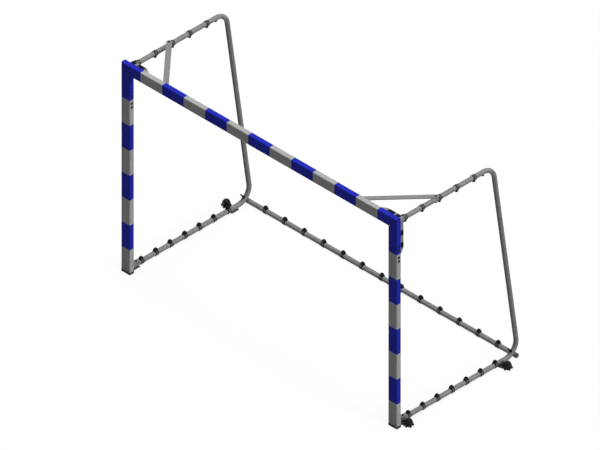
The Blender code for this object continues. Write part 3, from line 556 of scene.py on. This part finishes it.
def washer_mesh(radius, hole, thickness):
    edge = thickness * 0.25
    rows = (
        (hole, 0), (radius - edge, 0), (radius, edge),
        (radius, thickness - edge), (radius - edge, thickness), (hole, thickness),
    )
    rings = [circle(*row) for row in rows]
    return turned_mesh("flat_washer", rings, "black steel", closed=True)


def nut_mesh(flats, hole, height):
    face = flats / 2 * 0.92
    rings = [circle(hole, 0), hexagon(flats, 0, face), hexagon(flats, height * 0.12)]
    rings += [hexagon(flats, height * 0.88), hexagon(flats, height, face), circle(hole, height)]
    return turned_mesh("hexagon_nut", rings, "black steel", closed=True)


def span(node, axis):
    """Two ends of a CAD node along an axis through its middle."""
    low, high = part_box(node)
    middle = (low + high) / 2
    reaches = [(vertex.co - middle).dot(axis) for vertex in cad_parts[node].data.vertices]
    return [middle + reach * axis for reach in (min(reaches), max(reaches))]


class GOAL_OT_mouth(bpy.types.Operator):
    """Paint the posts and the crossbar and finish what is inside and under them"""
    bl_idname = "goal.mouth"
    bl_label = "Posts and crossbar"

    def execute(self, context):
        coat("stripes up", *both("post"))
        coat("stripes across", "crossbar")
        coat("black plastic", *both("foot_cap"))
        coat("cast", *both("corner_connector"))
        for side in SIDES:
            self.foot_band(side)
        return {"FINISHED"}

    def foot_band(self, side):
        """The foot cap's soft rim, which grips the post's end from outside."""
        low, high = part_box("foot_cap_" + side)
        rings = [self.band_ring(low, high, out, z) for out, z in BAND_SECTION]
        mesh = turned_mesh("foot_band", rings, "black plastic", closed=True)
        add_piece("foot_band_" + side, mesh)

    def band_ring(self, low, high, out, z):
        """Round the profile's section, out from its faces, with its corners rounded."""
        points = []
        radius = PROFILE_CORNER + out
        corners = ((high.x, high.y, 0), (low.x, high.y, 1), (low.x, low.y, 2), (high.x, low.y, 3))
        for x, y, quarter in corners:
            x -= math.copysign(PROFILE_CORNER, x - (low.x + high.x) / 2)
            y -= math.copysign(PROFILE_CORNER, y - (low.y + high.y) / 2)
            for step in range(ARC_STEPS + 1):
                angle = math.pi / 2 * (quarter + step / ARC_STEPS)
                points.append(Vector((x + radius * math.cos(angle), y + radius * math.sin(angle), z)))
        return points


class GOAL_OT_brackets(bpy.types.Operator):
    """Finish the brackets, braces and anchor plates, lay the weld beads and fill the notches with black
    guards that paint the shade in them
    """
    bl_idname = "goal.brackets"
    bl_label = "Brackets and braces"

    def execute(self, context):
        coat("sheet", *both("corner_bracket"), *both("foot_bracket"), *both("brace"))
        for end in ENDS:
            coat("thick plate", *both("anchor_plate_" + end))
            coat("black steel", *both("anchor_stud_" + end))
            for side in SIDES:
                self.weld_plate(end, side)
        # Black guards fill the notches as painted shade for their dark pockets; the black bolts in them are
        # real
        self.shade_guards()
        return {"FINISHED"}

    def shade_guard_mesh(self, low, high):
        """A black block that fills a notch under a ribbed lid from low to high along X, as painted shade for
        the notch's dark pocket; its foot is at Y 0.
        """
        half = bpy.context.scene.goal_fasteners.guard / 2
        depth = 0.0322
        foot = 0.0012
        corner = 0.004
        outline = [
            (-half, foot), (-half + foot, 0), (half - foot, 0), (half, foot),
            (half, depth - corner), (half - corner, depth), (-half + corner, depth), (-half, depth - corner),
        ]
        builder = bmesh.new()
        levels = ((0.0012, -0.0070), (0, -0.0062), (0, -0.0012), (0.0010, -0.0002), (0.0026, 0))
        rings = []
        for inset, z in levels:
            scale_x = 1 - inset / half
            scale_y = 1 - 2 * inset / depth
            rings.append([Vector((x * scale_x, inset + y * scale_y, z)) for x, y in outline])
        loft(builder, rings)

        # The lid lies on the bracket's wall on both sides of the notch
        lid_foot = 0.002
        lid = []
        for inset, z in ((0.0006, 0.0003), (0, 0.0009), (0, 0.0024), (0.0012, 0.0032)):
            lid.append(box_ring(low + inset, high - inset, lid_foot + inset, depth - inset, z))
        loft(builder, lid)
        rib_first, rib_pitch, rib_width, rib_margin = 0.010, 0.007, 0.0024, 0.005
        for rib in range(3):
            y = rib_first + rib * rib_pitch
            sides = (low + rib_margin, high - rib_margin, y, y + rib_width)
            loft(builder, [box_ring(*sides, z) for z in (0.0028, 0.0042)])
        return finish_mesh("notch_shade_guard", builder, ["black plastic"])

    def shade_guards(self):
        """A black guard in each notch as painted shade for its pocket, level with the bracket's wall,
        between its base and its edge.
        """
        back = Vector((0, 1, 0))
        head_height = 0.0053
        for side, sign in SIDES.items():
            # Ends of each lid, along the wall from the bolt beside it
            lids = {
                "post_lower": (-0.021, 0.021),
                "post_upper": (-0.021, 0.021),
                "bar_inner": (-0.024, 0.033),
                "bar_outer": sorted((-sign * 0.015, sign * 0.019)),
            }
            low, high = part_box("corner_bracket_" + side)
            wall_x = high.x if sign > 0 else low.x
            for place, (start, end) in lids.items():
                mesh = self.shade_guard_mesh(start, end)
                bolt_low, bolt_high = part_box("bracket_bolt_%s_%s" % (place, side))
                middle = (bolt_low + bolt_high) / 2
                base_y = bolt_high.y - head_height
                if place.startswith("post"):
                    point, up = (wall_x, base_y, middle.z), Vector((sign, 0, 0))
                else:
                    point, up = (middle.x, base_y, high.z), Vector((0, 0, 1))
                turn = Matrix((back.cross(up), back, up)).transposed().to_quaternion()
                add_piece("notch_guard_%s_%s" % (place, side), mesh, point, turn)

    def weld_plate(self, end, side):
        """Two beads in the corners between the floor tube and the plate under it."""
        low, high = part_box("anchor_plate_%s_%s" % (end, side))
        margin = 0.006
        steps = 24
        offset, lift = 0.0125, 0.0015
        thick, thin, tip = 0.0034, 0.0028, 0.0012
        for number, shift in enumerate((-offset, offset), start=1):
            rings = []
            for step in range(steps + 1):
                y = low.y + margin + (high.y - low.y - 2 * margin) * step / steps
                # Each ripple is one dab of the weld
                swell = thick if step % 2 else thin
                if step in (0, steps):
                    swell = tip
                center = Vector((SIDES[side] * HOOP_X + shift, y, high.z + lift))
                rings.append([center + Vector((p.x, 0, p.y)) for p in circle(swell, 0, sides=12)])
            mesh = turned_mesh("weld_bead", rings, "thick plate")
            add_piece("weld_bead_%s_%s_%d" % (end, side, number), mesh)


def hoop_path(sign):
    """Points along a hoop's axis from the floor tube's front end to the arm's front end."""
    tubes = bpy.context.scene.goal_tubes
    lean = math.atan((tubes.floor_reach - tubes.arm_reach) / (ARM_Z - FLOOR_TUBE_Z))
    low_y = HOOP_HIGH.y - TUBE_RADIUS - tubes.bend
    low_z = FLOOR_TUBE_Z + tubes.bend
    high_z = ARM_Z - tubes.bend
    high_y = low_y - (high_z - low_z) * math.tan(lean)
    points = [(HOOP_LOW.y, FLOOR_TUBE_Z)]
    for center_y, center_z, first, last in (
        (low_y, low_z, -math.pi / 2, lean),
        (high_y, high_z, lean, math.pi / 2),
    ):
        for step in range(BEND_STEPS + 1):
            angle = first + (last - first) * step / BEND_STEPS
            points.append((center_y + tubes.bend * math.cos(angle), center_z + tubes.bend * math.sin(angle)))
    points.append((ARM_FRONT_Y, ARM_Z))
    return [Vector((sign * HOOP_X, y, z)) for y, z in points]


def open_tube(name, path, across):
    """A tube whose two ends are open to the depth of their bore."""
    tubes = bpy.context.scene.goal_tubes
    inner = TUBE_RADIUS - tubes.wall
    outside = swept_rings(path, TUBE_RADIUS, across)
    first_in = path[0] + (path[1] - path[0]).normalized() * tubes.bore
    last_in = path[-1] + (path[-2] - path[-1]).normalized() * tubes.bore
    bore_in = swept_rings([path[0], first_in], inner, across)
    bore_out = swept_rings([last_in, path[-1]], inner, across)
    return turned_mesh(name, [bore_in[1], bore_in[0], *outside, bore_out[1], bore_out[0]], "tube")


class GOAL_OT_hoops(bpy.types.Operator):
    """Make the two bent net hoops"""
    bl_idname = "goal.hoops"
    bl_label = "Net hoops"

    def execute(self, context):
        for side, sign in SIDES.items():
            name = "bent_hoop_" + side
            mesh = open_tube(name, hoop_path(sign), Vector((1, 0, 0)))
            add_piece(name, mesh, stands_for=["net_hoop_" + side])
        return {"FINISHED"}


class GOAL_OT_rear_bar(bpy.types.Operator):
    """Make the rear bar with its open ends"""
    bl_idname = "goal.rear_bar"
    bl_label = "Rear bar"

    def execute(self, context):
        path = [Vector((x, BAR_Y, BAR_Z)) for x in (BAR_LOW.x, BAR_HIGH.x)]
        mesh = open_tube("floor_bar", path, Vector((0, 1, 0)))
        add_piece("floor_bar", mesh, stands_for=["rear_ground_bar"])
        mesh = self.plug_mesh()
        for side, sign in SIDES.items():
            point = (sign * BAR_HIGH.x, BAR_Y, BAR_Z)
            add_piece("bar_plug_" + side, mesh, point, turn_to((sign, 0, 0)))
        return {"FINISHED"}

    def plug_mesh(self):
        """A ribbed plug with a rounded black rim, a pale ring on its face that is a painted highlight, and a
        hole in its middle.
        """
        bore = TUBE_RADIUS - bpy.context.scene.goal_tubes.wall
        core = bore - 0.002
        hole = 0.0075
        rows = [(bore - 0.004, -0.022)]
        for rib in range(3):
            low = -0.02 + rib * 0.006
            rows += [(core, low), (bore - 0.0002, low + 0.003), (core, low + 0.0032)]
        rows += [(core, 0.0002), (TUBE_RADIUS, 0.0002)]
        rows += [(TUBE_RADIUS - inset, height) for inset, height in PLUG_FACE]
        rows += [(hole, 0.0012), (hole - 0.002, -0.006)]
        builder = bmesh.new()
        loft(builder, [circle(radius, height, ROUND_SIDES) for radius, height in rows])
        # The pale ring on the rounded face paints its highlight
        highlight_from, highlight_to, highlight_above = hole - 0.0003, TUBE_RADIUS - 0.0046, 0.001
        for face in builder.faces:
            middle = face.calc_center_median()
            if highlight_from < middle.xy.length < highlight_to and middle.z > highlight_above:
                face.material_index = 1
        return finish_mesh("tube_plug", builder, ["black plastic", "painted highlight plastic"])


class GOAL_OT_star_knobs(bpy.types.Operator):
    """Make the four star knobs of the floor anchors"""
    bl_idname = "goal.star_knobs"
    bl_label = "Star knobs"

    def star(self, radius, waist, height, rise):
        """Lobes with narrow tips and wide hollows between them; rise lifts the hollows."""
        knobs = bpy.context.scene.goal_knobs
        points = []
        for index in range(KNOB_SIDES):
            angle = 2 * math.pi * index / KNOB_SIDES
            wave = 0.5 + 0.5 * math.cos(knobs.lobes * (angle - knobs.turn))
            reach = waist + (radius - waist) * wave ** knobs.point
            lift = height + rise * (1 - wave ** 0.6)
            points.append(Vector((reach * math.cos(angle), reach * math.sin(angle), lift)))
        return points

    def execute(self, context):
        seat = ((0.006, 0.004), (0.006, 0), (0.017, 0), (0.0172, 0.0003))
        dimple = ((0.0055, 0.0519), (0.0048, 0.0508))
        rings = [circle(radius, height, KNOB_SIDES) for radius, height in seat]
        rings += [self.star(*row) for row in KNOB_ROWS]
        rings += [circle(radius, height, KNOB_SIDES) for radius, height in dimple]
        mesh = turned_mesh("star_knob_shape", rings, "knob plastic")
        for end in ENDS:
            for side in SIDES:
                name = "star_knob_%s_%s" % (end, side)
                low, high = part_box(name)
                point = ((low.x + high.x) / 2, (low.y + high.y) / 2, low.z)
                body = "star_knob_body_%s_%s" % (end, side)
                add_piece("lobed_" + name, mesh, point, body=body, stands_for=[name])
        return {"FINISHED"}


class GOAL_OT_bolts(bpy.types.Operator):
    """Make the hexagon bolts and the nuts under the arms"""
    bl_idname = "goal.bolts"
    bl_label = "Bolts and nuts"

    def execute(self, context):
        sizes = context.scene.goal_fasteners
        upright = ("foot_pivot_bolt", "arm_pivot_bolt", "brace_arm_bolt")
        names = [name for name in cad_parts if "_bolt_" in name]
        for name in sorted(names):
            low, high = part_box(name)
            middle = (low + high) / 2
            if name.startswith(upright):
                axis, seat = (0, 0, 1), Vector((middle.x, middle.y, high.z - sizes.bolt_head))
                length = seat.z - low.z
            else:
                axis, seat = (0, 1, 0), Vector((middle.x, high.y - sizes.bolt_head, middle.z))
                length = seat.y - low.y
            piece = name.replace("bolt", "hexagon_bolt")
            add_piece(piece, bolt_mesh(length), seat, turn_to(axis), stands_for=[name])
        nut_height = 0.0065
        nut_drop = 0.0022
        nut = nut_mesh(sizes.bolt_flats, sizes.bolt_radius, nut_height)
        for side in SIDES:
            for kind in ("arm_pivot", "brace_arm"):
                low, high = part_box("%s_bolt_%s" % (kind, side))
                point = ((low.x + high.x) / 2, (low.y + high.y) / 2, low.z - nut_drop)
                add_piece("%s_nut_%s" % (kind, side), nut, point)
        return {"FINISHED"}


class GOAL_OT_side_screws(bpy.types.Operator):
    """Make the flanged socket screws in both faces of each post"""
    bl_idname = "goal.side_screws"
    bl_label = "Side screws"

    def execute(self, context):
        sizes = context.scene.goal_fasteners
        radius = sizes.screw_radius
        flange = sizes.screw_flange
        head = sizes.screw_head
        shank, length = 0.003, 0.012
        socket_flats = 0.005
        crown = 0.0016
        rings = [circle(shank, -length), circle(shank, 0), circle(flange, 0)]
        rings += [circle(flange, head * 0.3), circle(radius + 0.0003, head * 0.45)]
        for step in range(1, ARC_STEPS + 1):
            angle = math.pi / 2 * step / ARC_STEPS
            height = head * (0.45 + 0.55 * math.sin(angle))
            rings.append(circle(radius - crown * (1 - math.cos(angle)), height))
        rings += [hexagon(socket_flats, head), hexagon(socket_flats, head * 0.4)]
        mesh = turned_mesh("socket_screw", rings, "black steel")
        for side, sign in SIDES.items():
            for number in range(1, 5):
                name = "side_screw_%s_%d" % (side, number)
                low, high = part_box(name)
                z = (low.z + high.z) / 2
                outer = (sign * OUTER_X, POST_MIDDLE_Y, z)
                inner = (sign * INNER_X, POST_MIDDLE_Y, z)
                outward = turn_to((sign, 0, 0))
                add_piece("outer_" + name, mesh, outer, outward, stands_for=[name])
                add_piece("inner_" + name, mesh, inner, turn_to((-sign, 0, 0)))
        return {"FINISHED"}


class GOAL_OT_clamps(bpy.types.Operator):
    """Make the threaded clamps that hold the rear bar"""
    bl_idname = "goal.clamps"
    bl_label = "Rear clamps"

    def execute(self, context):
        sizes = context.scene.goal_fasteners
        axis = Vector((0, -math.cos(sizes.clamp_angle), math.sin(sizes.clamp_angle)))
        turn = turn_to(axis)
        radius = sizes.clamp_radius
        thread_start = 0.061
        margin = 0.001
        for side in SIDES:
            node = "clamp_stud_" + side
            low, high = span(node, axis)
            length = (high - low).length
            rings = [circle(radius, 0), circle(radius, thread_start - margin)]
            rings += thread_rings(radius, thread_start, length - margin, CLAMP_PITCH)
            rings.append(circle(radius * 0.8, length))
            mesh = turned_mesh("threaded_stud", rings, "black steel")
            add_piece("threaded_stud_" + side, mesh, low, turn, stands_for=[node])

            node = "clamp_washer_" + side
            low, high = span(node, axis)
            box_low, box_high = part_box(node)
            mesh = washer_mesh((box_high.x - box_low.x) / 2, radius + 0.0004, (high - low).length)
            body = "clamp_washer_body_" + side
            add_piece("flat_washer_" + side, mesh, low, turn, body, [node])

            node = "clamp_nut_" + side
            low, high = span(node, axis)
            mesh = nut_mesh(sizes.clamp_flats, radius + 0.0003, (high - low).length)
            body = "clamp_nut_body_" + side
            add_piece("hexagon_nut_" + side, mesh, low, turn, body, [node])
        return {"FINISHED"}


class GOAL_OT_net_clips(bpy.types.Operator):
    """Make the net clips on the arms, the floor tubes and the rear bar"""
    bl_idname = "goal.net_clips"
    bl_label = "Net clips"

    def hook_outline(self, top):
        """Side view of a hook, along the tube and away from it; the slot takes the net's cord."""
        half = bpy.context.scene.goal_clips.width / 2
        base = TUBE_RADIUS + 0.0015
        rise = top - base
        tail = -half - 0.004

        # Corners as shares of the clip's half length and of the hook's rise
        shares = (
            (1, 0), (1, 0.22), (0.9, 0.27), (0, 0.27), (-0.15, 0.72), (0.3, 0.72), (0.4, 0.56), (0.75, 0.6),
            (0.85, 0.9), (0.65, 1), (-0.4, 1), (-0.85, 0.78),
        )
        corners = [(half * along, base + rise * up) for along, up in shares]
        return [(tail, base), *corners, (tail, base + rise * 0.25)]

    def clip_mesh(self, name, lowest, top):
        """A grey band with black soft edges round the tube, its hook at +Z; lowest cuts it flat."""
        clips = bpy.context.scene.goal_clips
        half = clips.width / 2
        inner = TUBE_RADIUS + 0.0003
        outer = TUBE_RADIUS + clips.wall
        chamfer = outer - 0.0008
        waist = outer - 0.0009
        slope = 0.0012
        grey = half - clips.edge
        profile = [
            (inner, -half), (chamfer, -half), (outer, slope - half), (outer, -grey), (waist, slope - grey),
            (waist, grey - slope), (outer, grey), (outer, half - slope), (chamfer, half), (inner, half),
        ]
        builder = bmesh.new()
        rings = []
        for index in range(ROUND_SIDES):
            angle = 2 * math.pi * index / ROUND_SIDES
            rings.append([
                Vector((r * math.cos(angle), y, max(r * math.sin(angle), lowest))) for r, y in profile
            ])
        for face in loft(builder, rings, closed=True):
            if abs(face.calc_center_median().y) > grey:
                face.material_index = 1
        outline = self.hook_outline(top)
        hook_side = 0.0105
        rings = [[Vector((x, y, z)) for y, z in outline] for x in (-hook_side, hook_side)]
        hook = loft(builder, rings, slot=1)
        edges = list(dict.fromkeys(edge for face in hook for edge in face.edges))
        bmesh.ops.bevel(builder, geom=edges, offset=0.0007, segments=2, affect="EDGES", material=1)
        bmesh.ops.dissolve_degenerate(builder, dist=0.000005, edges=builder.edges)
        return finish_mesh(name, builder, ["grey plastic", "black plastic"])

    def stop_mesh(self):
        """A small black stop on its foot, with a rounded head and a screw hole."""
        rows = [(0.0105, -0.0006), (0.0118, 0.0004), (0.0118, 0.0022), (0.0108, 0.003)]
        head, shoulder, curve = 0.0106, 0.0062, 0.0036
        for step in range(ARC_STEPS + 1):
            angle = math.pi / 2 * step / ARC_STEPS
            rows.append((head - curve * (1 - math.cos(angle)), shoulder + curve * math.sin(angle)))
        rows += [(0.0036, 0.0098), (0.0032, 0.0064)]
        rings = [circle(*row) for row in rows]
        return turned_mesh("arm_stop", rings, "black plastic")

    def execute(self, context):
        clips = context.scene.goal_clips
        uncut = -1.0
        floor_gap = 0.00005
        mesh = self.clip_mesh("net_clip", uncut, clips.top)
        low_mesh = self.clip_mesh("arm_net_clip", uncut, clips.arm_top)
        flat = self.clip_mesh("floor_bar_clip", floor_gap - BAR_Z, clips.top)
        stop = self.stop_mesh()
        half_turn = Matrix.Rotation(math.pi, 3, "Y").to_quaternion()
        quarter = Matrix.Rotation(math.pi / 2, 3, "Z").to_quaternion()
        for side, sign in SIDES.items():
            for number in range(clips.arm_count):
                y = FRONT_Y + clips.arm_first + clips.arm_pitch * number
                point = (sign * HOOP_X, y, ARM_Z)
                name = "arm_clip_%s_%d" % (side, number + 1)
                add_piece(name, low_mesh, point, half_turn)
            point = (sign * HOOP_X, FRONT_Y + clips.stop, ARM_Z - TUBE_RADIUS)
            add_piece("arm_stop_" + side, stop, point, half_turn)
            for number in range(clips.floor_count):
                y = FRONT_Y + clips.floor_first + clips.floor_pitch * number
                point = (sign * HOOP_X, y, FLOOR_TUBE_Z)
                add_piece("floor_clip_%s_%d" % (side, number + 1), mesh, point)
        for number in range(clips.bar_count):
            point = (clips.bar_first + clips.bar_pitch * number, BAR_Y, BAR_Z)
            add_piece("bar_clip_%d" % (number + 1), flat, point, quarter)
        return {"FINISHED"}


class GOAL_OT_stage(bpy.types.Operator):
    """Make the floor, the lamps, the sky and the camera"""
    bl_idname = "goal.stage"
    bl_label = "Stage"

    def background_rays(self, tree):
        """1 for rays that show the background: seen, mirrored or through glass."""
        path = add(tree, "ShaderNodeLightPath").outputs
        inputs = {0: path["Is Camera Ray"], 1: path["Is Glossy Ray"]}
        seen = add(tree, "ShaderNodeMath", inputs, operation="MAXIMUM")
        inputs = {0: seen, 1: path["Is Transmission Ray"]}
        return add(tree, "ShaderNodeMath", inputs, operation="MAXIMUM")

    def floor(self, stage):
        """White matt floor, dim to other rays, with the goal's faint soft shadow."""
        reach = 40
        gap = 0.0004
        mesh = bpy.data.meshes.new("floor")
        mesh.from_pydata(box_ring(-reach, reach, -reach, reach, 0), [], [(0, 1, 2, 3)])
        material = bpy.data.materials.new("white_matt_floor")
        material.use_nodes = True
        tree = material.node_tree
        tree.nodes.remove(tree.nodes["Principled BSDF"])
        glow = 0.88
        shown = add(tree, "ShaderNodeEmission", {"Color": linear(stage.floor), "Strength": glow})
        shadow = add(tree, "ShaderNodeBsdfDiffuse", {"Color": linear("#7C7C7C")})
        both_shaders = add(tree, "ShaderNodeAddShader", {0: shown, 1: shadow})
        dim = add(tree, "ShaderNodeBsdfDiffuse", {"Color": linear("#6B6B69")})
        inputs = {0: self.background_rays(tree), 1: dim, 2: both_shaders}
        mixed = add(tree, "ShaderNodeMixShader", inputs)
        feed(tree, tree.nodes["Material Output"], {"Surface": mixed})
        mesh.materials.append(material)
        item = bpy.data.objects.new("floor", mesh)
        item.location.z = -gap
        bpy.context.scene.collection.objects.link(item)

    def sky(self, stage):
        world = bpy.data.worlds.new("studio_sky")
        world.use_nodes = True
        tree = world.node_tree
        inputs = {"Value": self.background_rays(tree), "To Min": stage.fill, "To Max": 1.0}
        strength = add(tree, "ShaderNodeMapRange", inputs)
        feed(tree, tree.nodes["Background"], {"Color": (1, 1, 1, 1), "Strength": strength})
        bpy.context.scene.world = world

    def lamp(self, name, strength, toward, softness):
        light = bpy.data.lights.new(name, "SUN")
        light.energy = strength
        light.angle = math.radians(softness)
        item = bpy.data.objects.new(name, light)
        item.rotation_mode = "QUATERNION"
        item.rotation_quaternion = turn_to(toward)
        bpy.context.scene.collection.objects.link(item)

    def camera(self, stage):
        distance = 12
        flat = math.cos(stage.elevation)
        back = Vector((
            math.sin(stage.azimuth) * flat, -math.cos(stage.azimuth) * flat, math.sin(stage.elevation),
        ))
        data = bpy.data.cameras.new("camera")
        data.type = "ORTHO"
        data.ortho_scale = stage.width
        data.clip_end = 5 * distance
        item = bpy.data.objects.new("camera", data)
        item.location = Vector(stage.target) + back * distance
        item.rotation_mode = "QUATERNION"
        item.rotation_quaternion = (-back).to_track_quat("-Z", "Y")
        bpy.context.scene.collection.objects.link(item)
        bpy.context.scene.camera = item

    def execute(self, context):
        stage = context.scene.goal_stage
        self.floor(stage)
        self.sky(stage)
        softness = 12
        self.lamp("top_lamp", stage.top, (0, 0, 1), softness)
        self.lamp("side_lamp", stage.side, (0.953, 0.14, 0.27), softness)
        self.camera(stage)
        context.scene.view_settings.view_transform = "Standard"
        return {"FINISHED"}


OPERATORS = (
    GOAL_OT_mouth,
    GOAL_OT_brackets,
    GOAL_OT_hoops,
    GOAL_OT_rear_bar,
    GOAL_OT_star_knobs,
    GOAL_OT_bolts,
    GOAL_OT_side_screws,
    GOAL_OT_clamps,
    GOAL_OT_net_clips,
    GOAL_OT_stage,
)


class GOAL_PT_panel(bpy.types.Panel):
    bl_idname = "GOAL_PT_panel"
    bl_label = "Handball goal"
    bl_space_type = "VIEW_3D"
    bl_region_type = "UI"
    bl_category = "Goal"

    def draw(self, context):
        for kind in OPERATORS:
            self.layout.operator(kind.bl_idname)
        for name, group in GROUPS.items():
            for value in group.__annotations__:
                self.layout.prop(getattr(context.scene, name), value)


def register():
    for kind in (*GROUPS.values(), *OPERATORS, GOAL_PT_panel):
        bpy.utils.register_class(kind)
    for name, group in GROUPS.items():
        setattr(bpy.types.Scene, name, bpy.props.PointerProperty(type=group))


def unregister():
    for name in GROUPS:
        delattr(bpy.types.Scene, name)
    for kind in reversed((*GROUPS.values(), *OPERATORS, GOAL_PT_panel)):
        bpy.utils.unregister_class(kind)


def main():
    register()
    bpy.ops.goal.mouth()
    bpy.ops.goal.brackets()
    bpy.ops.goal.hoops()
    bpy.ops.goal.rear_bar()
    bpy.ops.goal.star_knobs()
    bpy.ops.goal.bolts()
    bpy.ops.goal.side_screws()
    bpy.ops.goal.clamps()
    bpy.ops.goal.net_clips()
    bpy.ops.goal.stage()


if __name__ == "__main__":
    main()
